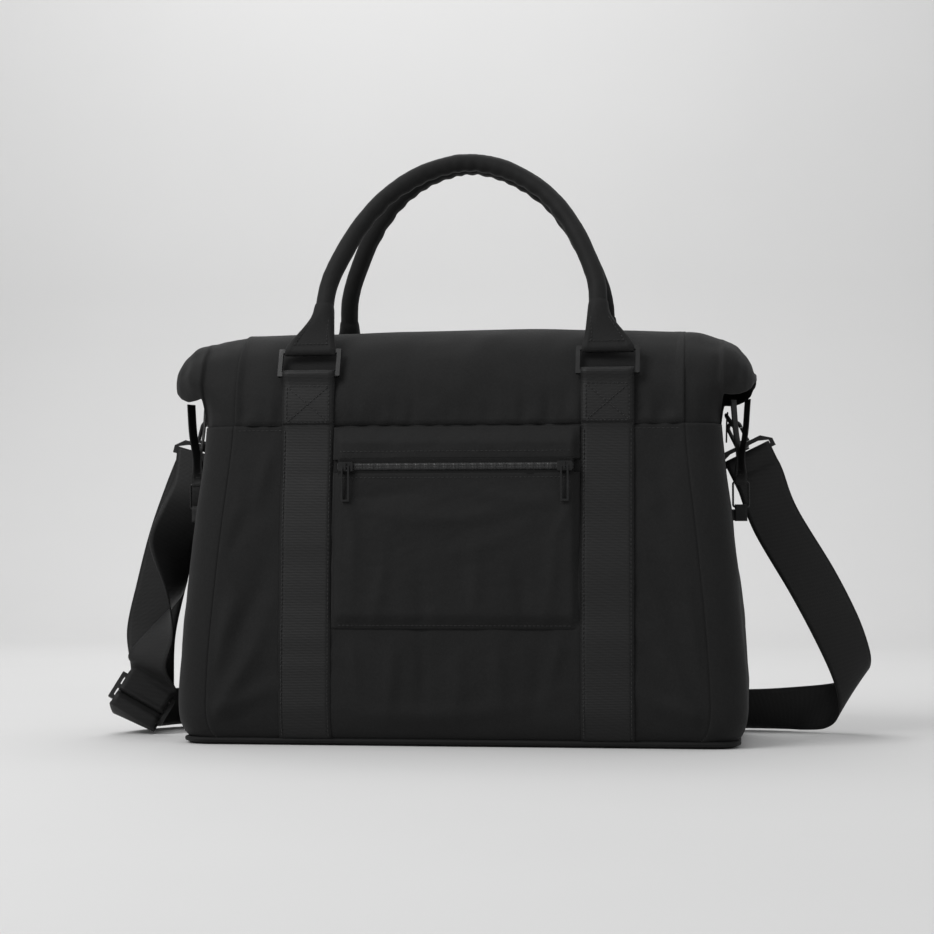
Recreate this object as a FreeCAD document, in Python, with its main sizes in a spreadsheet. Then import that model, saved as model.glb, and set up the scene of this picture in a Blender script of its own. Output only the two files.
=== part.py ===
import FreeCAD, Part
import math
import os

import Sketcher

# A soft weekender bag. Frame: +X to the bag's right as seen from its front, -Y to the front, +Z up.
# The origin is the middle of the base, on the surface that the bag stands on. Millimetres and degrees.

V = FreeCAD.Vector
Rotation = FreeCAD.Rotation
X_AXIS, Y_AXIS, Z_AXIS = V(1, 0, 0), V(0, 1, 0), V(0, 0, 1)
SIDES = {"left": -1, "right": 1}
FACES = {"front": -1, "back": 1}

SIZES = {
    # overall
    "base_length": 545, "base_depth": 220, "seam_length": 498, "seam_depth": 192,
    "seam_height": 303, "ridge_height": 396, "ear_span": 568,
    # shell
    "hollow_height": 272, "hollow_depth": 11, "hollow_width": 48,
    "wall": 1.6, "corner_radius": 34, "hem_height": 7, "hem_tuck": 9, "foot_height": 42,
    "belly": 3, "base_thickness": 2.4, "board_thickness": 3, "piping_radius": 2.4,
    "lining_thickness": 0.8, "gap": 0.3, "zip_half_width": 8, "zip_drop": 6,
    # webbing
    "webbing_width": 50, "webbing_thickness": 1.6, "webbing_spread": 286,
    # rings and handles
    "ring_height": 29, "ring_bar": 4, "ring_depth": 3.4, "ring_lift": 352, "ring_play": 1.2,
    "ring_standoff": 94, "bar_clearance": 0.4, "handle_rise": 233, "handle_radius": 9,
    "core_radius": 5.6, "handle_inset": 10, "tab_rise": 40, "tab_depth": 8,
    # pocket
    "pocket_bottom": 110, "pocket_top": 301, "pocket_bulge": 7.5, "pocket_wall": 1.2,
    "pocket_zip_height": 263, "zip_opening": 11, "coil_width": 6, "coil_thickness": 2.2,
    "tape_thickness": 0.7, "slider_length": 14, "slider_width": 9, "slider_thickness": 4.4,
    "bridge_height": 4, "bridge_width": 2, "pull_length": 34, "pull_width": 8, "pull_wire": 1.8,
    # side hardware
    "anchor_width": 20, "anchor_bottom": 290, "d_height": 12.8, "d_width": 32, "d_wire": 3.2,
    "d_lift": 316, "hook_wire": 3.8, "hook_width": 12, "gate_length": 9, "nose_length": 2,
    "eye_height": 11, "eye_bar": 4, "eye_top": 38, "hub_height": 5, "hub_radius": 5,
    "shank_radius": 2.6, "tether_width": 12, "tether_thickness": 2.6, "tether_offset": 30,
    "tether_reach": 267, "tether_bottom": 250, "link_height": 24, "link_width": 15,
    "link_wire": 2, "tab_bottom": 212,
    # shoulder strap
    "strap_width": 50, "strap_thickness": 1.8, "glide_height": 30, "glide_bar": 4,
    "glide_thickness": 3.4,
}

doc = FreeCAD.newDocument("weekender")
sheet = doc.addObject("Spreadsheet::Sheet", "Sizes")
for row, (alias, value) in enumerate(SIZES.items(), start=1):
    sheet.set(f"A{row}", alias)
    sheet.set(f"B{row}", str(value))
    sheet.setAlias(f"B{row}", alias)
doc.recompute()

NODES = []


def size(alias):
    """A driving dimension, read back from the sheet."""
    return float(getattr(sheet, alias))


def keep(obj, label):
    """Gives a document object its own label and lists it as a piece to write."""
    obj.Label = label
    NODES.append(obj)
    return obj


def feature(label, shape, placement=None):
    obj = doc.addObject("Part::Feature", label)
    obj.Shape = shape
    if placement is not None:
        obj.Placement = placement.multiply(obj.Placement)
    return keep(obj, label)


def bound(obj, **expressions):
    """Binds properties to cells; a double underscore stands for a dot."""
    for name, expression in expressions.items():
        obj.setExpression(name.replace("__", "."), expression)
    return obj


# ---------------------------------------------------------------- sketched and padded pieces

def origin_plane(body, role):
    return next(f for f in body.Origin.OriginFeatures if f.Role == role)


def rectangle(sketch, width, height):
    """A rectangle centred on the sketch's origin, its two sizes bound to cells."""
    corners = [V(-1, -1, 0), V(1, -1, 0), V(1, 1, 0), V(-1, 1, 0)]
    first = sketch.GeometryCount
    for i in range(4):
        sketch.addGeometry(Part.LineSegment(corners[i] * 5, corners[(i + 1) % 4] * 5), False)
    for i in range(4):
        sketch.addConstraint(Sketcher.Constraint("Coincident", first + i, 2, first + (i + 1) % 4, 1))
        sketch.addConstraint(Sketcher.Constraint("Vertical" if i % 2 else "Horizontal", first + i))
    sketch.addConstraint(Sketcher.Constraint("Symmetric", first, 1, first + 1, 2, -1, 1))
    for kind, line, expression in (("DistanceX", first, width), ("DistanceY", first + 1, height)):
        place = sketch.addConstraint(Sketcher.Constraint(kind, line, 1, line, 2, 10))
        sketch.setExpression(f"Constraints[{place}]", expression)


def sketch_on(body, name, role="XY_Plane"):
    sketch = body.newObject("Sketcher::SketchObject", name)
    sketch.AttachmentSupport = [(origin_plane(body, role), "")]
    sketch.MapMode = "FlatFace"
    return sketch


def padded_plate(label, width, height, thickness, windows=()):
    """A flat rectangular plate, half its thickness each side of its plane, with rectangular windows.

    windows holds (width, height, offset along the height) as expressions.
    """
    body = doc.addObject("PartDesign::Body", label)
    outline = sketch_on(body, label + "_outline")
    rectangle(outline, width, height)
    pad = body.newObject("PartDesign::Pad", label + "_pad")
    pad.Profile = outline
    pad.Midplane = True
    pad.setExpression("Length", thickness)
    doc.recompute()
    for number, (wide, high, offset) in enumerate(windows):
        window = sketch_on(body, f"{label}_window_{number}")
        rectangle(window, wide, high)
        window.setExpression("AttachmentOffset.Base.y", offset)
        cut = body.newObject("PartDesign::Pocket", f"{label}_cut_{number}")
        cut.Profile = window
        cut.Midplane = True
        cut.Type = "ThroughAll"
        doc.recompute()
    return body


def rounded(body, edges, radius):
    """Rounds the edges of the body's last feature that the test picks, as a PartDesign fillet."""
    base = body.Tip
    names = [f"Edge{i}" for i, e in enumerate(base.Shape.Edges, start=1) if edges(e)]
    fillet = body.newObject("PartDesign::Fillet", body.Name + "_round")
    fillet.Base = (base, names)
    fillet.setExpression("Radius", radius)
    doc.recompute()
    return body


def along(edge, axis):
    """Whether an edge is straight and parallel to an axis."""
    a, b = edge.Vertexes[0].Point, edge.Vertexes[-1].Point
    return edge.Curve.TypeId == "Part::GeomLine" and (b - a).cross(axis).Length < 1e-6


# ---------------------------------------------------------------- the body's outline

def levels():
    """(height, half length, half depth) of the shell's outside, from the hem to the gusset's top."""
    base, seam = (
        (size("base_length") / 2, size("base_depth") / 2),
        (size("seam_length") / 2, size("seam_depth") / 2),
    )
    tuck, belly = size("hem_tuck"), size("belly")
    middle = (size("foot_height") + size("seam_height")) / 2
    full = [(base[i] + seam[i]) / 2 + belly for i in (0, 1)]
    share = (size("hollow_height") - middle) / (size("seam_height") - middle)
    return [
        (size("hem_height"), base[0] - tuck, base[1] - tuck),
        (size("foot_height"), *base),
        (middle, *full),
        (size("hollow_height"), *(full[i] + share * (seam[i] - full[i]) for i in (0, 1))),
        (size("seam_height"), *seam),
    ]


def hollow_at(height):
    """The share of its full depth that a gusset's hollow has at a height; it clears the hook's eye."""
    middle = (size("foot_height") + size("seam_height")) / 2
    peak, top = size("hollow_height"), size("seam_height")
    if height < peak:
        share = (height - middle) / (peak - middle)
    else:
        share = (top - height) / (top - peak)
    return min(1.0, max(0.02, share))


def outline_at(height):
    """Half length and half depth of the shell's outside at a height, between its levels."""
    rows = levels()
    for low, high in zip(rows, rows[1:]):
        if height <= high[0]:
            share = max(0.0, (height - low[0]) / (high[0] - low[0]))
            return [low[i] + share * (high[i] - low[i]) for i in (1, 2)]
    return list(rows[-1][1:])


def loft(wires, ruled=True):
    return Part.makeLoft(wires, True, ruled)


def polygon(points):
    return Part.makePolygon([*points, points[0]])


def band_wire(outer, inner):
    """A closed wire round a thin band: its outside points one way, its inside points back."""
    return polygon([*outer, *reversed(inner)])


def corner_points(half_length, half_depth, radius, side, hollow, steps=6):
    """Points round one end of the outline, from the front seam round both corners to the back."""
    narrow = size("hollow_width") / 6
    wide, push = narrow * (1 + 2 * hollow), size("hollow_depth") * hollow
    points = []
    for sign, start in ((-1, -90), (1, 0)):
        if sign > 0:
            points += [
                V(half_length - inward, y, 0)
                for y, inward in ((-wide, 0), (-narrow, push), (narrow, push), (wide, 0))
            ]
        centre = V(half_length - radius, sign * (half_depth - radius), 0)
        for step in range(steps + 1):
            angle = math.radians(start + 90 * step / steps)
            points.append(centre + V(math.cos(angle), math.sin(angle), 0) * radius)
    return [V(side * p.x, p.y, 0) for p in points]


def at(points, height):
    return [V(p.x, p.y, height) for p in points]


def gusset(side):
    """An end panel that turns both corners; its top leans in under the ear."""
    wall, radius = size("wall"), size("corner_radius")
    wires = []
    for height, half_length, half_depth in levels():
        hollow = hollow_at(height)
        outer = corner_points(half_length, half_depth, radius, side, hollow)
        inner = corner_points(half_length - wall, half_depth - wall, radius - wall, side, hollow)
        wires.append(band_wire(at(outer, height), at(inner, height)))
    return loft(wires)


def broad_panel(face):
    """The flat front or back panel, between the two gussets' seams."""
    wall, gap = size("wall"), size("gap")
    wires = []
    for height, half_length, half_depth in levels():
        half = half_length - size("corner_radius") - gap
        ends = [V(x * half, face * half_depth, height) for x in (-1, 1)]
        inner = [p - V(0, face * wall, 0) for p in ends]
        wires.append(band_wire(ends, inner))
    return loft(wires)


# ---------------------------------------------------------------- yokes and ears

def arch(inset=0.0, steps=10, squeeze=1.0, drop=0.0, foot=None):
    """Points of half the top's arch in the YZ plane, from the seam up to the ridge, y positive.

    It is a quarter of a superellipse, so it rises steeply from the seam and rounds over the top.
    """
    depth = size("seam_depth") / 2 * squeeze - inset
    bottom = size("seam_height") + size("gap") if foot is None else foot
    top = size("ridge_height") - drop - inset
    points = []
    for step in range(steps + 1):
        angle = math.radians(90 * step / steps)
        points.append(
            (depth * math.cos(angle) ** 0.75, bottom + (top - bottom) * math.sin(angle) ** 0.85)
        )
    return points


def arch_height(y, inset=0.0):
    """Height of the arch's outside at a distance from the middle plane."""
    points = arch(inset, steps=60)
    for (y0, z0), (y1, z1) in zip(points, points[1:]):
        if y1 <= y <= y0:
            return z0 + (z1 - z0) * (y0 - y) / max(y0 - y1, 1e-9)
    return points[-1][1]


def arch_depth(height):
    """Distance of the arch's outside from the middle plane at a height."""
    points = arch(steps=60)
    for (y0, z0), (y1, z1) in zip(points, points[1:]):
        if z0 <= height <= z1:
            return y0 + (y1 - y0) * (height - z0) / (z1 - z0)
    return points[0][0]


def ear_start():
    """Where the yokes end and the ears begin, measured from the middle."""
    return size("seam_length") / 2 - size("corner_radius")


def yoke(face):
    """The curved panel from the horizontal seam up to the main zip's tape."""
    clear = size("zip_half_width")
    half = ear_start() - size("gap")
    wall, lip = size("wall"), size("ridge_height") - size("zip_drop") - 1
    outer = [p for p in arch(steps=24) if p[0] > clear + wall]
    outer += [(clear, arch_height(clear)), (clear, lip)]
    inner = [p for p in arch(wall, steps=24) if p[0] > clear + 2 * wall]
    inner += [(clear + wall, arch_height(clear + wall, wall)), (clear + wall, lip)]
    wires = [
        polygon([V(x, face * y, z) for y, z in [*outer, *reversed(inner)]])
        for x in (-half, half)
    ]
    return loft(wires)


def ear_wall():
    """Distance from the middle of the short upright wall under an ear."""
    return (ear_start() + size("ear_span") / 2) / 2


def ear_sections():
    """(distance out, share of the depth, drop of the ridge, rise of the foot) along an ear."""
    start, wall, tip = ear_start(), ear_wall(), size("ear_span") / 2
    reach = tip - wall
    return [
        (start, 1.0, 0, 0), (wall - 2, 0.94, 6, 0), (wall, 0.92, 7, 26),
        (wall + reach * 0.55, 0.76, 14, 23), (wall + reach * 0.88, 0.58, 26, 29),
        (tip, 0.44, 38, 38),
    ]


def ear(side):
    """One end of the mouth: it closes the top beyond the yokes, then stands out and droops.

    Inside it is hollow and open to the bag.
    """
    seam, wall = size("seam_height") + size("gap"), size("wall")

    def section(out, depth, drop, foot, inset):
        half = arch(inset, squeeze=depth, drop=drop, foot=foot)
        back = [V(side * out, y, z) for y, z in half]
        front = [V(side * out, -y, z) for y, z in reversed(half[:-1])]
        return polygon([*back, *front])

    outer, inner = [], []
    for number, (out, depth, drop, rise) in enumerate(ear_sections()):
        outer.append(section(out, depth, drop, seam + rise, 0))
        inside = out - wall if number else out - 1
        foot = seam + rise + wall if rise else seam - 2 * wall
        inner.append(section(inside, depth, drop, foot, wall))
    return loft(outer).cut(loft(inner))


def ear_foot(out):
    """Height of an ear's underside at a distance from the middle."""
    rows = ear_sections()[2:]
    for low, high in zip(rows, rows[1:]):
        if low[0] <= out <= high[0]:
            rise = low[3] + (high[3] - low[3]) * (out - low[0]) / (high[0] - low[0])
            return size("seam_height") + size("gap") + rise
    return size("seam_height") + size("gap") + rows[0][3]


# ---------------------------------------------------------------- bent strips and loops

def offset_line(points, distance):
    """The points of a bent line, each moved sideways, with mitred corners."""
    moved = []
    for i, p in enumerate(points):
        before = (p - points[max(i - 1, 0)]) if i else points[1] - p
        after = (points[i + 1] - p) if i < len(points) - 1 else before
        sides = [V(-d.y, d.x, 0).normalize() for d in (before, after)]
        middle = (sides[0] + sides[1]).normalize()
        moved.append(p + middle * (distance / max(0.5, middle.dot(sides[0]))))
    return moved


def strip(points, thickness, width):
    """A band bent along flat points (u, v), extruded to both sides of the UV plane."""
    line = [V(u, v, 0) for u, v in points]
    outline = band_wire(offset_line(line, thickness / 2), offset_line(line, -thickness / 2))
    face = Part.Face(outline)
    face.translate(V(0, 0, -width / 2))
    return face.extrude(V(0, 0, width))


def stand(shape, side, normal):
    """Turns a flat (u, v) shape upright: v becomes up, and u becomes out along side."""
    turned = shape.copy()
    turned.rotate(V(0, 0, 0), X_AXIS, 90)
    if normal == "X":
        turned.rotate(V(0, 0, 0), Z_AXIS, 90 * side)
    elif side < 0:
        turned.rotate(V(0, 0, 0), Z_AXIS, 180)
    return turned


def rounded_loop(width, height, radius, wire):
    """A closed loop of round wire in the XZ plane, centred on the middle of its top bar."""
    half, r = width / 2, radius
    corners = [
        (V(-half + r, 0, -r), 90), (V(-half + r, 0, -height + r), 180),
        (V(half - r, 0, -height + r), 270), (V(half - r, 0, -r), 0),
    ]
    edges, last = [], V(half - r, 0, 0)
    for centre, start in corners:
        a, b, c = (
            centre + V(math.cos(math.radians(start + t)), 0, math.sin(math.radians(start + t))) * r
            for t in (0, 45, 90)
        )
        if (a - last).Length > 1e-6:
            edges.append(Part.LineSegment(last, a).toShape())
        edges.append(Part.Arc(a, b, c).toShape())
        last = c
    path = Part.Wire(edges)
    start = path.OrderedEdges[0]
    ring = Part.Circle(start.valueAt(start.FirstParameter), start.tangentAt(start.FirstParameter), wire)
    return path.makePipeShell([Part.Wire(ring.toShape())], True, True)


# ---------------------------------------------------------------- shell

def tray():
    """The lining: a thin open bag inside the shell."""
    clear = size("wall") + size("gap")
    floor = size("hem_height") + size("board_thickness") + 2 * size("gap")
    rows = [(max(z, floor), a, b) for z, a, b in levels()]

    def skin(inset, lift):
        wires = []
        for number, (height, half_length, half_depth) in enumerate(rows):
            a, b, r = (half_length - inset, half_depth - inset, size("corner_radius") - inset)
            right = corner_points(a, b, r, 1, hollow_at(height))
            left = [V(-p.x, p.y, 0) for p in reversed(right)]
            wires.append(polygon(at([*right, *left], height + (lift if number == 0 else 0))))
        return loft(wires)

    inner = skin(clear + size("lining_thickness"), size("lining_thickness"))
    top = Part.makeBox(
        size("base_length"), size("base_depth"), 2,
        V(-size("base_length") / 2, -size("base_depth") / 2, size("seam_height") - 0.5),
    )
    return skin(clear, 0).cut(inner).cut(top)


def piping():
    """The piped seam round the base, a cord of round section on a rounded rectangle."""
    _, half_length, half_depth = levels()[0]
    radius, wire = size("corner_radius") - size("hem_tuck"), size("piping_radius")
    loop = rounded_loop(2 * half_length, 2 * half_depth, radius, wire)
    loop.translate(V(0, 0, half_depth))
    loop.rotate(V(0, 0, 0), X_AXIS, 90)
    loop.translate(V(0, 0, size("hem_height") - wire - size("gap")))
    return loop


for name, face in FACES.items():
    feature(f"{name}_panel", broad_panel(face))
for name, side in SIDES.items():
    feature(f"{name}_gusset", gusset(side))
for name, face in FACES.items():
    feature(f"{name}_yoke", yoke(face))
for name, side in SIDES.items():
    feature(f"{name}_ear", ear(side))
feature("lining", tray())
feature("base_piping", piping())

base = padded_plate(
    "base_panel",
    "Sizes.base_length - 2 * Sizes.hem_tuck - 2 * Sizes.piping_radius - 2 * Sizes.gap",
    "Sizes.base_depth - 2 * Sizes.hem_tuck - 2 * Sizes.piping_radius - 2 * Sizes.gap",
    "Sizes.base_thickness",
)
rounded(base, lambda e: along(e, Z_AXIS), "Sizes.corner_radius - Sizes.hem_tuck - Sizes.piping_radius")
bound(base, Placement__Base__z="Sizes.base_thickness / 2")
keep(base, "base_panel")

board = padded_plate(
    "base_board",
    "Sizes.base_length - 2 * Sizes.hem_tuck - 2 * Sizes.wall - 6",
    "Sizes.base_depth - 2 * Sizes.hem_tuck - 2 * Sizes.wall - 6",
    "Sizes.board_thickness",
)
rounded(board, lambda e: along(e, Z_AXIS), "Sizes.corner_radius - Sizes.hem_tuck - 2")
bound(board, Placement__Base__z="Sizes.hem_height + Sizes.board_thickness / 2")
keep(board, "base_board")

# ---------------------------------------------------------------- webbing, rings and handles

bar_reach = math.hypot(size("ring_bar"), size("ring_depth")) / 2 + size("bar_clearance")
loop_middle = bar_reach + size("webbing_thickness") / 2
lean = math.degrees(math.asin(
    (size("ring_standoff") - size("handle_radius") - size("gap") / 2) / size("handle_rise")
))
upper_bar = size("ring_height") - size("ring_bar")


def webbing(face, side):
    """A strip from the base seam up the bag, round the ring's lower bar and down over itself."""
    thick, gap = size("webbing_thickness"), size("gap")
    under, over = gap + thick / 2, gap * 2 + thick * 1.5
    standoff, lift, seam = size("ring_standoff"), size("ring_lift"), size("seam_height")
    heights = [size("hem_height") + 1, size("foot_height"), (size("foot_height") + seam) / 2, seam]
    path = [(outline_at(z)[1] + under, z) for z in heights]
    rise = [seam + 14, seam + 28, lift - 8]
    path += [(arch_depth(z) + under, z) for z in rise]
    for step in range(9):
        angle = math.radians(180 - 30 * step)
        path.append((standoff + loop_middle * math.cos(angle), lift + loop_middle * math.sin(angle)))
    path += [(arch_depth(z) + over, z) for z in (lift - 12, seam + 28, seam + 14, seam + 2)]
    shape = strip(path, thick, size("webbing_width"))
    shape = stand(shape, face, "X")
    shape.translate(V(side * size("webbing_spread") / 2, 0, 0))
    return shape


def ring_plate(label, face, side):
    """A flat rectangular ring, leaning in from its lower bar with the handle."""
    body = padded_plate(
        label,
        "Sizes.webbing_width + 2 * Sizes.ring_play + 2 * Sizes.ring_bar",
        "Sizes.ring_height",
        "Sizes.ring_depth",
        [("Sizes.webbing_width + 2 * Sizes.ring_play", "Sizes.ring_height - 2 * Sizes.ring_bar", "0")],
    )
    rounded(body, lambda e: along(e, Z_AXIS), "Sizes.ring_bar / 4")
    body.Placement = FreeCAD.Placement(
        V(0, 0, 0), Rotation(X_AXIS, 90 + face * lean)
    )
    middle = (size("ring_height") - size("ring_bar")) / 2
    body.Placement.Base = V(
        side * size("webbing_spread") / 2,
        face * (size("ring_standoff") - middle * math.sin(math.radians(lean))),
        size("ring_lift") + middle * math.cos(math.radians(lean)),
    )
    return keep(body, label)


def leaning(face):
    """The frame of a handle: its X along the bag, its Z up the lean from the rings' lower bars."""
    return FreeCAD.Placement(
        V(0, face * size("ring_standoff"), size("ring_lift")), Rotation(X_AXIS, face * lean)
    )


# Half of a handle's line as shares: out from the middle to its foot, and up from its foot to its top.
HANDLE_SHAPE = [
    (1, 0), (0.985, 0.17), (0.92, 0.34), (0.775, 0.585), (0.58, 0.79), (0.34, 0.928), (0.135, 0.988),
]


def handle_path():
    """One smooth pointed arch from foot to foot, in the handle's own frame."""
    half = size("webbing_spread") / 2 - size("handle_inset")
    foot = upper_bar + size("tab_rise")
    rise = size("handle_rise") - foot
    points = [V(half * out, 0, foot + rise * up) for out, up in HANDLE_SHAPE]
    points += [V(0, 0, size("handle_rise")), *(V(-p.x, 0, p.z) for p in reversed(points))]
    curve = Part.BSplineCurve()
    curve.interpolate(Points=points)
    return Part.Wire([curve.toShape()])


def rod(path, radius):
    start = path.OrderedEdges[0]
    point, way = start.valueAt(start.FirstParameter), start.tangentAt(start.FirstParameter)
    return path.makePipeShell([Part.Wire(Part.Circle(point, way, radius).toShape())], True, True)


def handle_tab(side):
    """The folded end of a handle's cover: wide round the ring's upper bar, narrow at the tube."""
    half, depth = size("webbing_width") / 2, size("tab_depth")
    middle = V(side * size("webbing_spread") / 2, 0, upper_bar)
    foot = V(side * (size("webbing_spread") / 2 - size("handle_inset")), 0, upper_bar + size("tab_rise"))
    radius = size("handle_radius")

    def section(centre, wide, deep):
        return polygon([centre + V(i * wide, j * deep, 0) for i, j in ((-1, -1), (1, -1), (1, 1), (-1, 1))])

    top = foot + V(0, 0, radius * 0.4)
    cone = loft([section(middle, half, depth / 2), section(top, radius, radius * 0.8)])
    outer = bar_reach + size("webbing_thickness")
    barrel = Part.makeCylinder(outer, 2 * half, middle - X_AXIS * half, X_AXIS)
    hole = Part.makeCylinder(bar_reach, 2 * half, middle - X_AXIS * half, X_AXIS)
    cap = rod(handle_path(), radius + size("gap"))
    return cone.fuse(barrel).cut(hole).cut(cap)


for face_name, face in FACES.items():
    for side_name, side in SIDES.items():
        feature(f"webbing_{face_name}_{side_name}", webbing(face, side))
        ring_plate(f"ring_{face_name}_{side_name}", face, side)
    cover = rod(handle_path(), size("handle_radius")).cut(
        rod(handle_path(), size("core_radius") + 3 * size("gap"))
    )
    feature(f"handle_{face_name}_cover", cover, leaning(face))
    feature(f"handle_{face_name}_core", rod(handle_path(), size("core_radius")), leaning(face))
    tabs = Part.Compound([handle_tab(side) for side in SIDES.values()])
    feature(f"handle_{face_name}_tabs", tabs, leaning(face))

# ---------------------------------------------------------------- pocket

pocket_half = (size("webbing_spread") - size("webbing_width")) / 2 - size("gap")


def pocket_sheet(rows):
    """A shallow sheet on the front panel; rows holds (height, how far it stands off in the middle)."""
    wall, flank = size("pocket_wall"), 5
    wires = []
    for height, lift in rows:
        base = outline_at(height)[1] + size("gap")
        xs = (-pocket_half, -pocket_half + flank, pocket_half - flank, pocket_half)
        inner = [V(x, -base - (lift if abs(x) < pocket_half - 1 else 0), height) for x in xs]
        outer = [V(p.x, p.y - wall, height) for p in inner]
        wires.append(band_wire(outer, inner))
    return loft(wires)


zip_low = size("pocket_zip_height") - size("zip_opening") / 2
zip_high = size("pocket_zip_height") + size("zip_opening") / 2
bulge, bottom, top = size("pocket_bulge"), size("pocket_bottom"), size("pocket_top")
bend = (size("foot_height") + size("seam_height")) / 2
feature("pocket_panel", pocket_sheet([(bottom, 0), (bottom + 10, bulge), (bend, bulge), (zip_low, bulge)]))
feature("pocket_header", pocket_sheet([(zip_high, bulge), (top - 12, bulge * 0.7), (top, 0)]))

# How far forward the zip's middle plane lies, and the frames of the two zips: X along the chain,
# Z outward from it.
zip_face = outline_at(size("pocket_zip_height"))[1] + size("gap") + bulge + size("pocket_wall") / 2
pocket_zip = FreeCAD.Placement(V(0, -zip_face, size("pocket_zip_height")), Rotation(X_AXIS, 90))
top_zip = FreeCAD.Placement(V(0, 0, size("ridge_height") - size("zip_drop")), Rotation())
zip_half = {"pocket": pocket_half - 6, "top": ear_start() - size("gap")}
edge = {"pocket": size("zip_opening") / 2, "top": size("zip_half_width")}
zips = {"pocket": pocket_zip, "top": top_zip}


def zip_tapes(kind):
    """The two cloth tapes beside a closed chain."""
    gap, thick, half = size("gap"), size("tape_thickness"), zip_half[kind]
    inside = size("coil_width") / 2 + gap
    wide = edge[kind] - gap - inside
    return Part.Compound([
        Part.makeBox(2 * half, wide, thick, V(-half, y, -thick / 2)) for y in (inside, -inside - wide)
    ])


def slider(number_along):
    """A saddle over the chain with a bridge for the pull; the bridge's hole lies along an axis."""
    long, wide, thick = size("slider_length"), size("slider_width"), size("slider_thickness")
    gap, rise, plate = size("gap"), size("bridge_height"), size("bridge_width")
    floor = size("tape_thickness") / 2 + gap
    shell = Part.makeBox(long, wide, thick, V(-long / 2, -wide / 2, floor))
    shell = shell.makeFillet(1.2, [e for e in shell.Edges if along(e, Z_AXIS)])
    channel = size("coil_width") + 2 * gap
    tunnel = size("coil_thickness") / 2 + gap - floor
    shell = shell.cut(Part.makeBox(long, channel, tunnel + 1, V(-long / 2, -channel / 2, floor - 1)))
    across = (plate, rise + 2) if number_along else (rise + 2, plate)
    post = Part.makeBox(*across, rise + 1, V(-across[0] / 2, -across[1] / 2, floor + thick - 1))
    axis = X_AXIS if number_along else Y_AXIS
    hole = Part.makeCylinder(pull_eye, 20, V(0, 0, floor + thick + rise / 2) - axis * 10, axis)
    return shell.fuse(post).cut(hole)


pull_eye = size("pull_wire") * math.sqrt(2) / 2 + size("gap") * 0.6
pull_lift = size("tape_thickness") / 2 + size("gap") + size("slider_thickness") + size("bridge_height") / 2


def pull(label):
    """A flat wire loop, its first bar at the hinge, hanging down the sheet's Y."""
    body = padded_plate(
        label, "Sizes.pull_width", "Sizes.pull_length", "Sizes.pull_wire",
        [("Sizes.pull_width - 2 * Sizes.pull_wire", "Sizes.pull_length - 2 * Sizes.pull_wire", "0")],
    )
    rounded(body, lambda e: along(e, Z_AXIS), "Sizes.pull_wire / 4")
    return body


for kind, frame in zips.items():
    feature(f"{kind}_zip_tapes", zip_tapes(kind), frame)
    coil = doc.addObject("Part::Box", f"{kind}_zip_coil")
    bound(coil, Width="Sizes.coil_width", Height="Sizes.coil_thickness")
    coil.Length = 2 * zip_half[kind]
    corner = V(-zip_half[kind], -size("coil_width") / 2, -size("coil_thickness") / 2)
    coil.Placement = frame.multiply(FreeCAD.Placement(corner, Rotation()))
    keep(coil, f"{kind}_zip_coil")
    for name, side in SIDES.items():
        place = side * (zip_half[kind] - size("slider_length") / 2 - 1)
        stop = FreeCAD.Placement(V(place, 0, 0), Rotation())
        feature(f"{kind}_slider_{name}", slider(kind == "pocket"), frame.multiply(stop))
        tag = pull(f"{kind}_pull_{name}")
        middle = size("pull_length") / 2 - size("pull_wire") / 2
        if kind == "pocket":
            hang = FreeCAD.Placement(V(place, -middle, pull_lift), Rotation())
        else:
            hang = FreeCAD.Placement(V(place - side * middle, 0, pull_lift), Rotation(Z_AXIS, 90))
        tag.Placement = frame.multiply(hang)
        keep(tag, f"{kind}_pull_{name}")

# ---------------------------------------------------------------- side hardware

d_radius, hook_radius = size("d_wire") / 2, size("hook_wire") / 2
d_eye = d_radius + 0.2
side_wall = max(ear_wall(), size("seam_length") / 2)
d_out = side_wall + size("gap") + d_eye + size("webbing_thickness")
# How each side's D-ring and snap hook hang, in degrees out from straight down.
HANG = {"left": (62, 14), "right": (34, 26)}
hub_foot = size("eye_height") + size("eye_bar") / 2 - size("hub_height")
head_thickness = 2
# Half the strap's width where it bunches a little in the eye.
bunched = size("strap_width") / 2 - 1
deck = hub_foot + size("hub_height") + size("gap")
deck_thickness = 3
pivot_rise = deck + deck_thickness + size("gap") + hook_radius + 0.2
nose_rise = pivot_rise + size("gate_length") + size("gap")
arc_rise = nose_rise + size("nose_length")
hook_reach = arc_rise + size("hook_width") / 2 - hook_radius - d_radius - size("gap")


def hang_frames(name, side):
    """The frames of a D-ring (at its straight bar) and of the hook and eye (at the eye's bar)."""
    d_angle, hook_angle = (math.radians(t) for t in HANG[name])
    top = V(side * d_out, 0, size("d_lift"))
    bow = top + V(side * math.sin(d_angle), 0, -math.cos(d_angle)) * size("d_height")
    bar = bow + V(side * math.sin(hook_angle), 0, -math.cos(hook_angle)) * hook_reach
    return (
        FreeCAD.Placement(top, Rotation(Y_AXIS, -side * HANG[name][0])),
        FreeCAD.Placement(bar, Rotation(Y_AXIS, -side * HANG[name][1])),
    )


def anchor(side):
    """A webbing strip on the gusset, folded round the D-ring's straight bar."""
    thick, gap, seam = size("webbing_thickness"), size("gap"), size("seam_height")
    under = gap + thick / 2
    low, lift, middle = size("anchor_bottom"), size("d_lift"), d_eye + thick / 2
    path = [(outline_at(low)[0] + under, low), (side_wall + under, seam), (side_wall + under, lift - 2)]
    for step in range(10):
        angle = math.radians(180 - 30 * step)
        path.append((d_out + middle * math.cos(angle), lift + middle * math.sin(angle)))
    path[2] = (path[3][0], lift - 1.5)
    shape = strip(path, thick, size("anchor_width"))
    return stand(shape, side, "Y")


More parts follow.
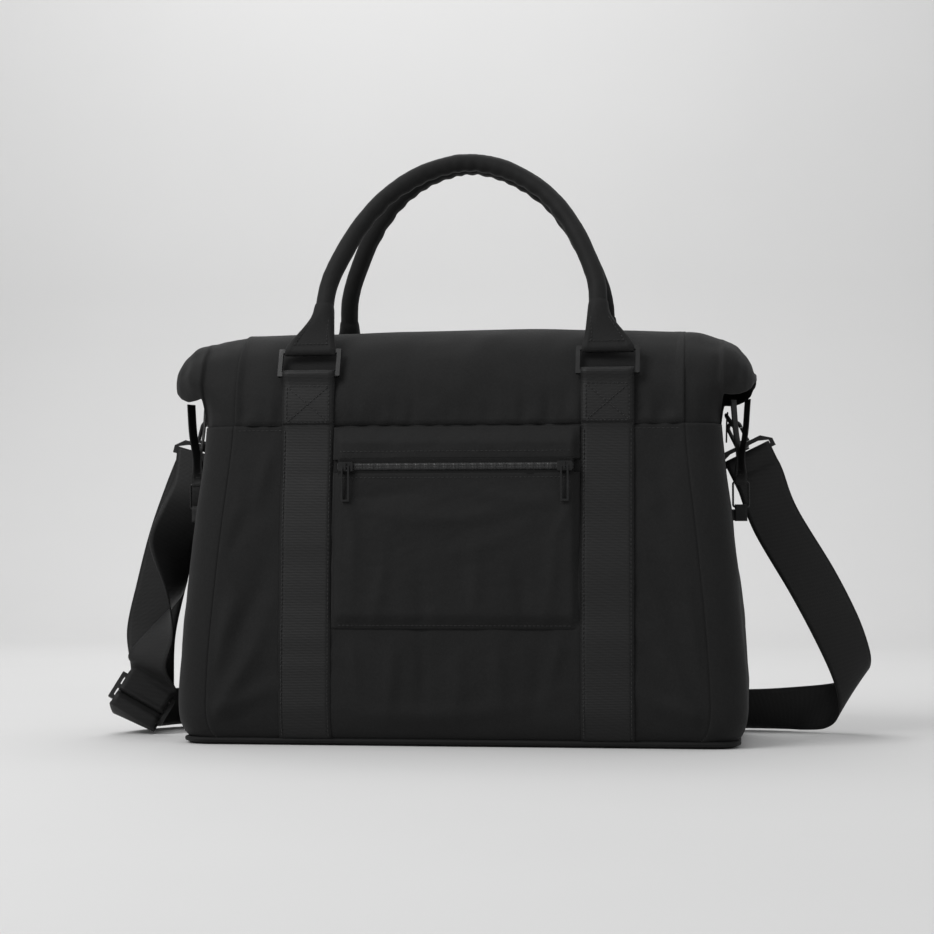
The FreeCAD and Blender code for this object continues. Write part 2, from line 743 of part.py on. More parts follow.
def d_ring():
    ring = rounded_loop(size("d_width") - size("d_wire"), size("d_height"), 5, d_radius)
    ring.rotate(V(0, 0, 0), Z_AXIS, 90)
    return ring


def hook():
    """The body of a swivel snap hook, in the eye's frame: shank, deck, claw and nose."""
    half, wide = size("hook_width") / 2, size("hook_wire")
    low = hub_foot - size("gap")
    shank = Part.makeCylinder(size("shank_radius"), deck - low, V(0, 0, low))
    head = Part.makeCylinder(size("shank_radius") + 1.6, head_thickness, V(0, 0, low - head_thickness))
    block = Part.makeBox(2 * half + wide, wide, deck_thickness, V(-half - hook_radius, -hook_radius, deck))
    block = block.makeFillet(0.8, [e for e in block.Edges if along(e, Z_AXIS)])
    a, b, c, d = V(-half, 0, deck + 1), V(-half, 0, arc_rise), V(half, 0, arc_rise), V(half, 0, nose_rise)
    path = Part.Wire([
        Part.LineSegment(a, b).toShape(),
        Part.Arc(b, V(0, 0, arc_rise + half), c).toShape(),
        Part.LineSegment(c, d).toShape(),
    ])
    claw = rod(path, hook_radius)
    return claw.fuse([block, shank, head])


def gate():
    """The sprung bar that closes the hook: a barrel at its pivot and a straight arm."""
    half, radius = size("hook_width") / 2, hook_radius * 0.85
    pivot = V(half, 0, pivot_rise)
    barrel = Part.makeCylinder(
        hook_radius + 0.2, size("hook_wire"), pivot - Y_AXIS * hook_radius, Y_AXIS
    )
    return barrel.fuse(Part.makeCylinder(radius, size("gate_length"), pivot))


def eye():
    """The hook's strap loop: a flat-bar frame, narrower at the top, whose hub the shank turns in."""
    bar, rise, shoulder = size("eye_bar"), size("eye_height"), size("eye_height") / 2
    inside, top = bunched + size("gap") * 2, size("eye_top") / 2

    def frame(wide, low, bend, narrow, high):
        outline = [(-wide, low), (wide, low), (wide, bend), (narrow, high), (-narrow, high), (-wide, bend)]
        return Part.Face(polygon([V(x, -bar / 2, z) for x, z in outline])).extrude(V(0, bar, 0))

    outside = frame(inside + bar, -bar / 2, shoulder, top, rise + bar / 2)
    ring = outside.cut(frame(inside, bar / 2, shoulder, top - bar, rise - bar / 2))
    hub = Part.makeCylinder(size("hub_radius"), size("hub_height"), V(0, 0, hub_foot))
    bore = Part.makeCylinder(size("shank_radius") + 0.1, size("hub_height") + 2, V(0, 0, hub_foot - 1))
    return ring.fuse(hub).cut(bore)


def tether_out():
    """How far out the tethers hang, clear of the gusset at the lower tab."""
    clear = outline_at(size("tab_bottom"))[0] + size("tether_width") / 2 + 1
    return max(size("tether_reach"), clear)


def tether(side):
    """A narrow doubled webbing from the ear's underside, folded round the link's top wire."""
    wide, thick = size("tether_width"), size("tether_thickness")
    out, low = tether_out(), size("tether_bottom")
    outer = size("link_wire") / 2 + 0.2 + thick / 2
    top = min(ear_foot(out - wide / 2), ear_foot(out), ear_foot(out + wide / 2)) - size("gap")
    body = Part.makeBox(wide, thick, top - low, V(-wide / 2, -thick / 2, low))
    fold = Part.makeCylinder(outer, wide, V(-wide / 2, 0, low), X_AXIS)
    bore = Part.makeCylinder(outer - thick / 2, wide, V(-wide / 2, 0, low), X_AXIS)
    shape = body.fuse(fold).cut(bore)
    shape.translate(V(side * out, -size("tether_offset"), 0))
    return shape


def lower_tab(side):
    """A folded tab sewn to the gusset, with a loop round the link's bottom wire."""
    wide, thick = size("tether_width"), size("tether_thickness")
    out, low = tether_out(), size("tab_bottom")
    lift = size("tether_bottom") - size("link_height")
    outer = size("link_wire") / 2 + 0.2 + thick / 2
    seat = max(outline_at(low)[0], outline_at(lift)[0]) + size("gap")
    far = out + wide / 2
    body = Part.makeBox(wide, thick, lift - low, V(out - wide / 2, -thick / 2, low))
    fold = Part.makeCylinder(outer, wide, V(out - wide / 2, 0, lift), X_AXIS)
    bore = Part.makeCylinder(outer - thick / 2, wide, V(out - wide / 2, 0, lift), X_AXIS)
    root_width = far - seat
    root = Part.makeBox(root_width, thick, lift - low - 4, V(seat, -thick / 2, low))
    shape = body.fuse([fold, root]).cut(bore)
    if side < 0:
        shape = shape.mirror(V(0, 0, 0), X_AXIS)
    shape.translate(V(0, -size("tether_offset"), 0))
    return shape


def link(side):
    shape = rounded_loop(size("link_width"), size("link_height"), 2.2, size("link_wire") / 2)
    shape.translate(V(side * tether_out(), -size("tether_offset"), size("tether_bottom")))
    return shape


for name, side in SIDES.items():
    d_frame, hook_frame = hang_frames(name, side)
    feature(f"anchor_{name}", anchor(side))
    feature(f"d_ring_{name}", d_ring(), d_frame)
    feature(f"hook_{name}", hook(), hook_frame)
    feature(f"gate_{name}", gate(), hook_frame)
    feature(f"eye_{name}", eye(), hook_frame)
    feature(f"tether_{name}", tether(side))
    feature(f"tether_tab_{name}", lower_tab(side))
    feature(f"tether_link_{name}", link(side))

# ---------------------------------------------------------------- shoulder strap

# The strap is one length of webbing. It hangs from the right hook, folds over on the ground,
# runs on its edge behind the bag, turns up through the tri-glide, goes through the left hook's
# eye and comes back down, with a half twist, to the tri-glide. Each row is a place on it as two
# points, one on each edge: first the edge that is outermost and then uppermost, then the other.
RIGHT_DROP = [
    ((322, 20, 226), (280, 24, 202)), ((358, 46, 167), (315, 50, 142)),
    ((382, 70, 121), (340, 74, 95)), ((394, 86, 88), (357, 88, 58)),
    ((396, 98, 71), (364, 96, 33)), ((391, 108, 62), (362, 105, 14)),
    ((378, 115, 56), (350, 113, 4)), ((360, 117, 50), (329, 120, 2)),
]
BEHIND = [
    ((326, 116, 46), (312, 130, 2)), ((281, 115, 43), (276, 139, 2)),
    ((200, 115, 42), (198, 141, 2)), ((100, 116, 43), (100, 141, 2)),
    ((0, 115, 42), (0, 142, 2)), ((-100, 116, 43), (-100, 140, 2)),
    ((-190, 115, 42), (-192, 141, 2)), ((-240, 115, 42), (-243, 140, 2)),
    ((-284, 106, 42), (-290, 132, 3)), ((-311, 84, 42), (-322, 110, 3)),
    ((-320, 56, 41), (-346, 74, 4)), ((-318, 34, 26), (-363, 32, 22)),
    ((-321, 14, 4), (-363, 9, 21)),
]
LEFT_RISE = [
    ((-302.5, 18, 95), (-352.5, 18, 104)), ((-292, 15, 143), (-341, 15, 155)),
    ((-278, 12, 193), (-327, 12, 206)), ((-262, 9, 240), (-310, 9, 252)),
]
LEFT_FALL = [
    ((-249, -7, 246), (-298, -11, 254)), ((-262, -3, 217), (-306, -25, 227)),
    ((-280, -1, 187), (-314, -38, 193)), ((-290, 2, 143), (-294, -48, 143)),
    ((-321, -2, 108), (-289, -40, 102)), ((-343, -6, 82), (-301, -22, 68)),
]
# Where the strap is in the tri-glide's own frame, as (height on the plate, distance in front of it):
# the long run comes over the lower bar, under the middle one and out over the upper one; the
# strap's end comes down in front of that and folds over the middle bar.
GLIDE_RUN = [
    (-20, -3), (-17.2, 1.5), (-13.2, 3.8), (-10.1, 3.4), (-6.5, 0), (-2.5, -3.5),
    (2.5, -3.5), (6.5, 0), (10.1, 3.4), (14, 3.8), (20, 4.5),
]
GLIDE_END = [(22, 12), (14, 7.4), (8, 5.6), (2.5, 3.7), (-1.5, 3.4), (-3.3, 0.9)]
GLIDE = FreeCAD.Placement(
    V(-333, 5.5, 35.5), Rotation(V(0.85, 0.16, -0.5), V(0.38, 0.475, 0.795), V(0, 0, 0), "XYZ")
)

strap_half = size("strap_thickness") / 2
eye_wrap = size("eye_bar") * math.sqrt(2) / 2 + size("gap") * 1.5 + strap_half


def bar_rows(name, angles):
    """Strap rows round the bar of an eye; 180 is behind the bar, 90 over it, 0 in front of it."""
    frame = hang_frames(name, SIDES[name])[1]
    half, rows = bunched, []
    for angle in angles:
        turn = math.radians(angle)
        place = V(0, -math.cos(turn), math.sin(turn)) * eye_wrap
        rows.append(tuple(frame.multVec(place + V(x, 0, 0)) for x in (half, -half)))
    return rows


def layer_rows(offsets):
    """Strap rows below the right eye, as (distance behind the eye's plane, height above the bar)."""
    frame = hang_frames("right", 1)[1]
    return [tuple(frame.multVec(V(x, y, z)) for x in (bunched, -bunched)) for y, z in offsets]


def glide_rows(offsets, first):
    """Strap rows at the tri-glide; first is the side of it that the first edge lies on."""
    half = first * size("strap_width") / 2
    return [tuple(GLIDE.multVec(V(x, y, z)) for x in (half, -half)) for y, z in offsets]


def ribbon(rows, thickness, per_row=3):
    """A solid band whose two edges are smooth curves through the rows' points."""
    edges = []
    for side in (0, 1):
        curve = Part.BSplineCurve()
        stations = [float(i) for i in range(len(rows))]
        curve.interpolate(Points=[V(row[side]) for row in rows], Parameters=stations)
        edges.append(curve)
    steps = [i / per_row for i in range((len(rows) - 1) * per_row + 1)]
    places = [[curve.value(step) for curve in edges] for step in steps]
    middles = [(a + b) / 2 for a, b in places]
    points, facets = [], [(0, 2, 1), (0, 3, 2)]
    for i, (a, b) in enumerate(places):
        way = middles[min(i + 1, len(middles) - 1)] - middles[max(i - 1, 0)]
        side = (a - b).cross(way).normalize() * (thickness / 2)
        points += [a + side, b + side, b - side, a - side]
    for first in range(0, len(points) - 4, 4):
        for k in range(4):
            low, high = first + k, first + (k + 1) % 4
            split = low if k == 2 else high
            other = high if k == 2 else low
            facets += [(low, high, split + 4), (other, high + 4, low + 4)]
    last = len(points) - 4
    facets += [(last, last + 1, last + 2), (last, last + 2, last + 3)]
    skin = Part.Shape()
    skin.makeShapeFromMesh((points, facets), 0.001)
    length = sum((q - p).Length for p, q in zip(middles, middles[1:]))
    solid = Part.makeSolid(skin)
    if solid.Volume < 0:
        solid.reverse()
    return solid, length


layer = size("strap_thickness") + size("gap")
strap_rows = [
    *layer_rows([(2 * layer, -26), (layer * 1.2, -14), (eye_wrap * 0.85, -4)]),
    *bar_rows("right", (180, 135, 90, 45, 0)),
    *layer_rows([(-eye_wrap * 0.85, -4), (-layer * 0.2, -14), (layer * 0.8, -26)]),
    *RIGHT_DROP, *BEHIND, *glide_rows(GLIDE_RUN, 1), *LEFT_RISE,
    *bar_rows("left", (180, 135, 90, 45, 0)), *LEFT_FALL, *glide_rows(GLIDE_END, -1),
]
strap, strap_length = ribbon(strap_rows, size("strap_thickness"))
feature("shoulder_strap", strap)
print(f"strap length {strap_length:.0f} mm")

glide_window = (
    "(Sizes.glide_height - 3 * Sizes.glide_bar) / 2",
    "(Sizes.glide_height - Sizes.glide_bar) / 4",
)
glide = padded_plate(
    "tri_glide",
    "Sizes.strap_width + 3 + 2 * Sizes.glide_bar",
    "Sizes.glide_height",
    "Sizes.glide_thickness",
    [("Sizes.strap_width + 3", glide_window[0], sign + glide_window[1]) for sign in ("", "-1 * ")],
)
rounded(glide, lambda e: along(e, Z_AXIS), "Sizes.glide_bar / 4")
glide.Placement = GLIDE
keep(glide, "tri_glide")

# ---------------------------------------------------------------- checks and export

doc.recompute()
for obj in doc.Objects:
    if "Invalid" in obj.State or "Error" in obj.State:
        raise RuntimeError(f"{obj.Name} failed: {obj.State}")
os.makedirs("parts", exist_ok=True)
for obj in NODES:
    shape = obj.Shape
    if shape.isNull() or not shape.isValid() or shape.Volume <= 0:
        raise RuntimeError(f"{obj.Label} has no valid shape")
    shape.exportStep(f"parts/{obj.Label}.step")
    print(f"{obj.Label}: {len(shape.Solids)} solid, {shape.Volume / 1000:.1f} cm3")
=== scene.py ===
import math

import bpy
from mathutils import Matrix, Vector, noise


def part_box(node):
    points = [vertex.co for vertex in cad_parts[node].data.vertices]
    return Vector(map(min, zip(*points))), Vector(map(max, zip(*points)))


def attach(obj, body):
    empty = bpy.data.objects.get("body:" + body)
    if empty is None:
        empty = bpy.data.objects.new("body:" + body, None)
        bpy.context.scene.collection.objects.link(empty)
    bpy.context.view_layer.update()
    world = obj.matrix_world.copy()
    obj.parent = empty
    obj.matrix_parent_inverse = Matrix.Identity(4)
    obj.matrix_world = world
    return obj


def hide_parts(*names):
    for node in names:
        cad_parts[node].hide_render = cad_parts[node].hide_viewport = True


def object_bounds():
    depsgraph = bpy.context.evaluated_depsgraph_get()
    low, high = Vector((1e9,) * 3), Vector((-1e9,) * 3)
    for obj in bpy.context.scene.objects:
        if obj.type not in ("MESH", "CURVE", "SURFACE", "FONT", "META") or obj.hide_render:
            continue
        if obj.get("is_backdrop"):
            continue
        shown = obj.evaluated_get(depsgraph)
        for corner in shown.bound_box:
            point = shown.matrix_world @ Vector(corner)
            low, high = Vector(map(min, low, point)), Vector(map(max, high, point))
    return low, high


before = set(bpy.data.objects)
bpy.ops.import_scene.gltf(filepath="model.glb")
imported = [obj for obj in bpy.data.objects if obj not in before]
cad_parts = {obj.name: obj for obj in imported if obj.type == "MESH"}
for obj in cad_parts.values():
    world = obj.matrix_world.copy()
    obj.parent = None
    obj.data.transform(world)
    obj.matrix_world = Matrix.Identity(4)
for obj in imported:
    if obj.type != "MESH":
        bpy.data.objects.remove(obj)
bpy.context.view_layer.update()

# A soft weekender bag in black nylon. Lengths are in millimetres until a mesh is made, when they
# become metres. +X is the bag's right from its front, -Y its front, +Z up.

MM = 0.001
SIDES = {"left": -1, "right": 1}
FACES = {"front": -1, "back": 1}


# ---------------------------------------------------------------- finishes

class Value:
    """A number that varies over a surface, so that a finish can be written as arithmetic."""

    def __init__(self, finish, socket):
        self.finish, self.socket = finish, socket

    def _with(self, operation, first, second=0.0, clamp=False):
        settings = {"operation": operation, "use_clamp": clamp}
        return self.finish.node("ShaderNodeMath", settings, {0: first, 1: second})

    def __add__(self, other):
        return self._with("ADD", self, other)

    def __sub__(self, other):
        return self._with("SUBTRACT", self, other)

    def __rsub__(self, other):
        return self._with("SUBTRACT", other, self)

    def __mul__(self, other):
        return self._with("MULTIPLY", self, other)

    __radd__ = __add__
    __rmul__ = __mul__

    def sine(self):
        return self._with("SINE", self)

    def size(self):
        return self._with("ABSOLUTE", self)

    def held(self):
        return self._with("ADD", self, 0.0, clamp=True)

    def between(self, low, high):
        """0 below low, 1 above high."""
        settings = {"interpolation_type": "SMOOTHSTEP"}
        return self.finish.node("ShaderNodeMapRange", settings, {"Value": self, 1: low, 2: high})


class Finish:
    """A material in the making."""

    def __init__(self, name, **constants):
        self.material = bpy.data.materials.new(name)
        self.material.use_nodes = True
        self.tree = self.material.node_tree
        self.shader = self.tree.nodes["Principled BSDF"]
        for socket, value in constants.items():
            self.shader.inputs[socket.replace("_", " ")].default_value = value

    def node(self, kind, settings=None, sockets=None, output=0):
        made = self.tree.nodes.new(kind)
        for name, value in (settings or {}).items():
            setattr(made, name, value)
        for socket, value in (sockets or {}).items():
            if isinstance(value, Value):
                self.tree.links.new(value.socket, made.inputs[socket])
            else:
                made.inputs[socket].default_value = value
        return Value(self, made.outputs[output])

    def place(self, flat=False):
        """Metres over the piece's own cloth (along its length is V), or metres in space."""
        if flat:
            return self.node("ShaderNodeUVMap", {"uv_map": "cloth"})
        return self.node("ShaderNodeTexCoord", output=3)

    def axis(self, place, index):
        return self.node("ShaderNodeSeparateXYZ", None, {0: place}, output=index)

    def mottle(self, place, scale, detail=2.0, rough=0.55):
        sockets = {"Vector": place, "Scale": scale, "Detail": detail, "Roughness": rough}
        return self.node("ShaderNodeTexNoise", None, sockets)

    def mix(self, share, first, second):
        return self.node("ShaderNodeMix", {"data_type": "RGBA"}, {0: share, 6: first, 7: second}, output=2)

    def into(self, socket, value):
        self.tree.links.new(value.socket, self.shader.inputs[socket])

    def bump(self, height, distance, strength=1.0):
        self.into("Normal", self.node(
            "ShaderNodeBump", None, {"Height": height, "Distance": distance, "Strength": strength}
        ))


def grey(level, warmth=0.0):
    return (level * (1 + warmth), level, level * (1 - warmth), 1.0)


def woven_finish(name, dark, light, rough=0.78, grain=1500, sheen=0.05):
    """Dense plain-woven nylon: a fine grain, faint slubs and a soft sheen."""
    finish = Finish(name, Sheen_Weight=sheen, Sheen_Roughness=0.45, Specular_IOR_Level=0.2)
    place = finish.place()
    fine = finish.mottle(place, grain, 1.0)
    slub = finish.mottle(place, 420, 2.0)
    broad = finish.mottle(place, 14, 3.0)
    share = (fine * 0.9 + slub * 0.6 + broad * 0.7 - 0.55).held()
    finish.into("Base Color", finish.mix(share, grey(dark), grey(light)))
    finish.into("Roughness", (broad * 0.16 + fine * 0.12 + (rough - 0.14)).held())
    finish.bump(fine * 0.7 + slub * 0.5, 0.0005, 0.55)
    return finish.material


def webbing_finish(name, dark, light, width, pitch=1.5):
    """Ribbed flat webbing: ribs across it, firmer selvedges and a satin face."""
    finish = Finish(name, Sheen_Weight=0.04, Sheen_Roughness=0.4, Specular_IOR_Level=0.3)
    flat = finish.place(flat=True)
    across, along = finish.axis(flat, 0), finish.axis(flat, 1)
    ribs = (along * (2 * math.pi / (pitch * MM))).sine() * 0.5 + 0.5
    twill = ((along + across * 0.35) * (2 * math.pi / (4.4 * MM))).sine() * 0.5 + 0.5
    selvedge = (across - width * MM / 2).size().between(width * MM * 0.43, width * MM * 0.47)
    fine = finish.mottle(flat, 1400, 1.0)
    worn = finish.mottle(flat, 16, 2.0)
    share = (ribs * 0.35 + twill * 0.2 + fine * 0.35 + worn * 0.45 - selvedge * 0.25 - 0.3).held()
    finish.into("Base Color", finish.mix(share, grey(dark), grey(light)))
    finish.into("Roughness", (worn * 0.2 + fine * 0.12 + 0.42).held())
    finish.bump(ribs * 0.6 + fine * 0.4 + selvedge * 0.5, 0.0004, 0.6)
    return finish.material


def metal_finish(name, level=0.006, rough=0.42):
    """Black plated metal, rubbed a little brighter in patches."""
    finish = Finish(name, Metallic=0.1, Specular_IOR_Level=0.35)
    place = finish.place()
    worn = finish.mottle(place, 90, 4.0).between(0.5, 0.75)
    fine = finish.mottle(place, 900, 2.0)
    finish.into("Base Color", finish.mix(worn * 0.5, grey(level), grey(level * 3.2)))
    finish.into("Roughness", (worn * 0.14 + fine * 0.08 + (rough - 0.06)).held())
    finish.into("Coat Weight", (0.2 - worn * 0.15).held())
    finish.bump(fine, 0.0002, 0.12)
    return finish.material


def moulded_finish(name):
    """Satin moulded nylon with a fine spark-eroded texture."""
    finish = Finish(name, Specular_IOR_Level=0.5)
    place = finish.place()
    fine, broad = finish.mottle(place, 1600, 1.0), finish.mottle(place, 40, 3.0)
    finish.into("Base Color", finish.mix(broad, grey(0.005), grey(0.012)))
    finish.into("Roughness", (broad * 0.14 + fine * 0.1 + 0.34).held())
    finish.bump(fine, 0.0002, 0.25)
    return finish.material


def stitch_finish(name):
    """Bonded thread, twisted."""
    finish = Finish(name, Sheen_Weight=0.08, Specular_IOR_Level=0.35)
    place = finish.place()
    twist = finish.mottle(place, 1800, 1.0)
    finish.into("Base Color", finish.mix(twist, grey(0.006), grey(0.018)))
    finish.into("Roughness", (twist * 0.2 + 0.42).held())
    finish.bump(twist, 0.0002, 0.4)
    return finish.material


def coil_finish(name):
    """A nylon coil's turns, seen as close ridges across the chain, with a painted highlight on each turn and
    painted shade between the turns.
    """
    finish = Finish(name, Specular_IOR_Level=0.55)
    flat = finish.place(flat=True)
    turns_and_painted_shade = (finish.axis(flat, 1) * (2 * math.pi / (1.5 * MM))).sine() * 0.5 + 0.5
    fine = finish.mottle(flat, 900, 1.0)
    # The turns lighten the base colour on their tops and darken it between them: a painted highlight and painted
    # shade.
    share = (turns_and_painted_shade * 0.7 + fine * 0.3).held()
    finish.into("Base Color", finish.mix(share, grey(0.004), grey(0.022)))
    finish.into("Roughness", (fine * 0.2 + 0.35).held())
    finish.bump(turns_and_painted_shade, 0.0006, 0.8)
    return finish.material


CLOTH = woven_finish("body nylon", 0.0035, 0.013)
POCKET_CLOTH = woven_finish("pocket nylon", 0.0035, 0.012, rough=0.74)
LINING = woven_finish("lining taffeta", 0.03, 0.05, rough=0.6, grain=2200)
HANDLE_CLOTH = woven_finish("handle nylon", 0.003, 0.010, rough=0.68, sheen=0.05)
PIPING = woven_finish("piping cord cover", 0.003, 0.010, rough=0.68, grain=1900)
BODY_WEBBING = webbing_finish("body webbing", 0.0025, 0.012, 50)
STRAP_WEBBING = webbing_finish("strap webbing", 0.0025, 0.014, 50, pitch=1.3)
NARROW_WEBBING = webbing_finish("narrow webbing", 0.003, 0.012, 12, pitch=1.1)
TAPE = woven_finish("zip tape", 0.002, 0.007, rough=0.8, grain=2400)
COIL = coil_finish("zip coil")
METAL = metal_finish("black plated metal")
DARK_METAL = metal_finish("black plated wire", 0.006, 0.3)
NYLON = moulded_finish("moulded nylon")
THREAD = stitch_finish("sewing thread")
FOAM = woven_finish("handle core", 0.08, 0.12, rough=0.9)


# ---------------------------------------------------------------- making cloth

def ripple(place, scale, seed):
    """Smooth unevenness from -1 to 1; scale is the size of one ripple in millimetres."""
    return noise.noise(Vector(place) / scale + Vector((seed * 7.3, seed * 3.1, seed * 1.7)))


def crease(u, v, fold):
    """How high a fold stands at a place on a panel; a fold is (u, v, slant, length, width, height)."""
    middle_u, middle_v, slant, length, width, height = fold
    turn = math.radians(slant)
    along = (u - middle_u) * math.cos(turn) + (v - middle_v) * math.sin(turn)
    across = (v - middle_v) * math.cos(turn) - (u - middle_u) * math.sin(turn)
    bow = across - 0.0016 * along * along / max(1.0, length / 60)
    return height * math.exp(-((along / length) ** 2) - (bow / width) ** 2)


def smooth(share):
    share = min(1.0, max(0.0, share))
    return share * share * (3 - 2 * share)


def curve_through(stations, values, place):
    """A smooth curve through values at stations, read at a place."""
    last = len(stations) - 1
    i = max(0, min(last - 1, sum(1 for s in stations[1:-1] if place >= s)))
    a, b = stations[i], stations[i + 1]
    t = min(1.0, max(0.0, (place - a) / (b - a)))
    before, after = values[max(0, i - 1)], values[min(last, i + 2)]
    low, high = values[i], values[i + 1]
    slope_low = (high - before) / (b - stations[max(0, i - 1)]) * (b - a)
    slope_high = (after - low) / (stations[min(last, i + 2)] - a) * (b - a)
    t2, t3 = t * t, t * t * t
    return (
        low * (2 * t3 - 3 * t2 + 1) + slope_low * (t3 - 2 * t2 + t)
        + high * (3 * t2 - 2 * t3) + slope_high * (t3 - t2)
    )


def normals(rows):
    """The normal at each point of a grid, to the left of its rows."""
    high, wide = len(rows), len(rows[0])
    made = []
    for i in range(high):
        line = []
        for j in range(wide):
            along = rows[i][min(j + 1, wide - 1)] - rows[i][max(j - 1, 0)]
            up = rows[min(i + 1, high - 1)][j] - rows[max(i - 1, 0)][j]
            line.append(along.cross(up).normalized())
        made.append(line)
    return made


def cloth_sheet(name, rows, finish, thickness=0.0, round_rows=False, levels=0, offset=-1.0):
    """A mesh on a grid of points in millimetres, with metres of cloth along it as its UVs."""
    high, wide = len(rows), len(rows[0])
    mesh = bpy.data.meshes.new(name)
    last = wide if round_rows else wide - 1
    faces = [
        (i * wide + j, i * wide + (j + 1) % wide, (i + 1) * wide + (j + 1) % wide, (i + 1) * wide + j)
        for i in range(high - 1) for j in range(last)
    ]
    mesh.from_pydata([p * MM for row in rows for p in row], [], faces)
    middle = wide // 2
    ups = [0.0]
    for low, top in zip(rows, rows[1:]):
        ups.append(ups[-1] + (top[middle] - low[middle]).length * MM)
    acrosses = [0.0]
    for j in range(last):
        acrosses.append(acrosses[-1] + (rows[high // 2][(j + 1) % wide] - rows[high // 2][j]).length * MM)
    layer = mesh.uv_layers.new(name="cloth")
    for face in mesh.polygons:
        i, j = divmod(face.index, last)
        for corner, (di, dj) in zip(face.loop_indices, ((0, 0), (0, 1), (1, 1), (1, 0))):
            layer.data[corner].uv = (acrosses[j + dj], ups[i + di])
    mesh.shade_smooth()
    made = bpy.data.objects.new(name, mesh)
    bpy.context.scene.collection.objects.link(made)
    mesh.materials.append(finish)
    if thickness:
        thicken = made.modifiers.new("thickness", "SOLIDIFY")
        thicken.thickness, thicken.offset, thicken.use_even_offset = thickness * MM, offset, False
    if levels:
        finer = made.modifiers.new("smooth", "SUBSURF")
        finer.levels = finer.render_levels = levels
    return made


def box_of(node):
    """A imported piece's lowest and highest corners in millimetres."""
    return [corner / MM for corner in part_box(node)]


def fitted(made, slot, *nodes, body="bag"):
    """Puts a finished piece on its body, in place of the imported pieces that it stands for."""
    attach(made, body)
    if nodes:
        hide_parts(*nodes)
    return made


def one_mesh(name, parts, finish):
    """Joins lists of (points, faces) in millimetres into one mesh."""
    points, faces = [], []
    for some_points, some_faces in parts:
        start = len(points)
        points += [p * MM for p in some_points]
        faces += [tuple(start + i for i in face) for face in some_faces]
    mesh = bpy.data.meshes.new(name)
    mesh.from_pydata(points, [], faces)
    mesh.shade_smooth()
    mesh.materials.append(finish)
    made = bpy.data.objects.new(name, mesh)
    bpy.context.scene.collection.objects.link(made)
    return made


def stitch(a, b, out, radius=0.42, sides=6):
    """One stitch as a short sunk-ended bead of thread from a to b, raised along out."""
    way = b - a
    length = way.length
    way = way / length
    side = way.cross(out).normalized()
    points, faces = [], []
    shares = (0.0, 0.12, 0.5, 0.88, 1.0)
    swell = (0.25, 0.8, 1.0, 0.8, 0.25)
    for share, fat in zip(shares, swell):
        middle = a + way * (length * share) + out * (radius * (fat - 0.55))
        for k in range(sides):
            turn = 2 * math.pi * k / sides
            points.append(middle + (side * math.cos(turn) + out * math.sin(turn)) * (radius * fat))
    for i in range(len(shares) - 1):
        for k in range(sides):
            following = (k + 1) % sides
            low, high = i * sides, (i + 1) * sides
            faces.append((low + k, low + following, high + following, high + k))
    faces += [tuple(reversed(range(sides))), tuple(range(len(points) - sides, len(points)))]
    return points, faces


def seam_stitches(line, outs, length=3.2, space=1.1, radius=0.42):
    """Stitches one after another along a line of points, with the way out of the cloth at each."""
    runs = [0.0]
    for a, b in zip(line, line[1:]):
        runs.append(runs[-1] + (b - a).length)

    def read(values, run):
        i = max(0, min(len(runs) - 2, sum(1 for r in runs[1:-1] if run >= r)))
        share = (run - runs[i]) / max(1e-6, runs[i + 1] - runs[i])
        return values[i].lerp(values[i + 1], share)

    made, run = [], space
    while run + length < runs[-1]:
        out = read(outs, run + length / 2).normalized()
        made.append(stitch(read(line, run), read(line, run + length), out, radius))
        run += length + space
    return made


# ---------------------------------------------------------------- the shell

HEIGHTS = [5, 12, 24, 42, 92, 140, 177, 215, 250, 280, 303]
HALF_LENGTHS = [262.5, 267.5, 271, 272, 269.5, 265.5, 262, 258, 254, 251, 249.5]
HALF_DEPTHS = [100.5, 105.5, 109, 110, 109.5, 107.5, 106, 104, 101, 98, 96]
SEAM, RIDGE, CORNER = 303, 402, 34
SEAM_DEPTH = 96  # half the bag's depth at the seam
# Folds in the front panel: along X, up, slant in degrees, half length, half width, height.
FRONT_FOLDS = [
    (-205, 66, 58, 46, 9, 2.8), (-222, 100, 72, 48, 10, 2.4), (-196, 128, 66, 40, 9, -1.8),
    (-232, 168, 80, 44, 9, 1.8), (-205, 205, 62, 34, 8, -1.4), (-186, 250, 75, 34, 7, 1.4),
    (-212, 38, 20, 40, 9, 2.2), (208, 60, 118, 46, 9, 2.6), (226, 108, 104, 50, 10, 2.2),
    (200, 140, 112, 40, 9, -1.6), (232, 190, 98, 44, 9, 1.7), (196, 235, 106, 34, 8, -1.3),
    (214, 34, -18, 40, 9, 2.2), (-60, 62, 86, 30, 7, 1.6), (-30, 70, 92, 34, 6, -1.3),
    (4, 60, 88, 32, 8, 1.5), (42, 66, 95, 34, 7, 1.3), (78, 58, 84, 30, 7, -1.2), (96, 84, 80, 22, 6, 1.2),
    (-96, 80, 98, 24, 6, 1.2), (-10, 30, 3, 90, 9, 1.4),
]
BACK_FOLDS = [
    (-190, 70, 60, 50, 10, 2.6), (-60, 120, 82, 60, 12, 2.0), (30, 160, 96, 60, 12, -1.8),
    (90, 90, 100, 50, 10, 2.0), (206, 80, 116, 50, 10, 2.6), (-214, 180, 78, 50, 10, 1.8),
    (214, 200, 100, 50, 10, 1.8), (0, 40, 2, 120, 12, 1.6), (-20, 240, 88, 40, 10, 1.4),
]
GUSSET_FOLDS = [
    (0, 150, 90, 90, 12, -3.2), (-42, 110, 80, 60, 12, 2.4), (44, 120, 100, 60, 12, 2.6),
    (-50, 220, 84, 44, 9, 1.5), (54, 226, 96, 40, 9, 1.6), (0, 60, 4, 60, 14, 1.8), (20, 84, 60, 40, 9, 1.8),
]


def half_length(height):
    return curve_through(HEIGHTS, HALF_LENGTHS, height)


def half_depth(height):
    return curve_through(HEIGHTS, HALF_DEPTHS, height)


def edge_calm(height):
    """Folds die out towards the seams that hold the cloth flat."""
    return smooth((height - 4) / 26) * smooth((SEAM + 3 - height) / 30)


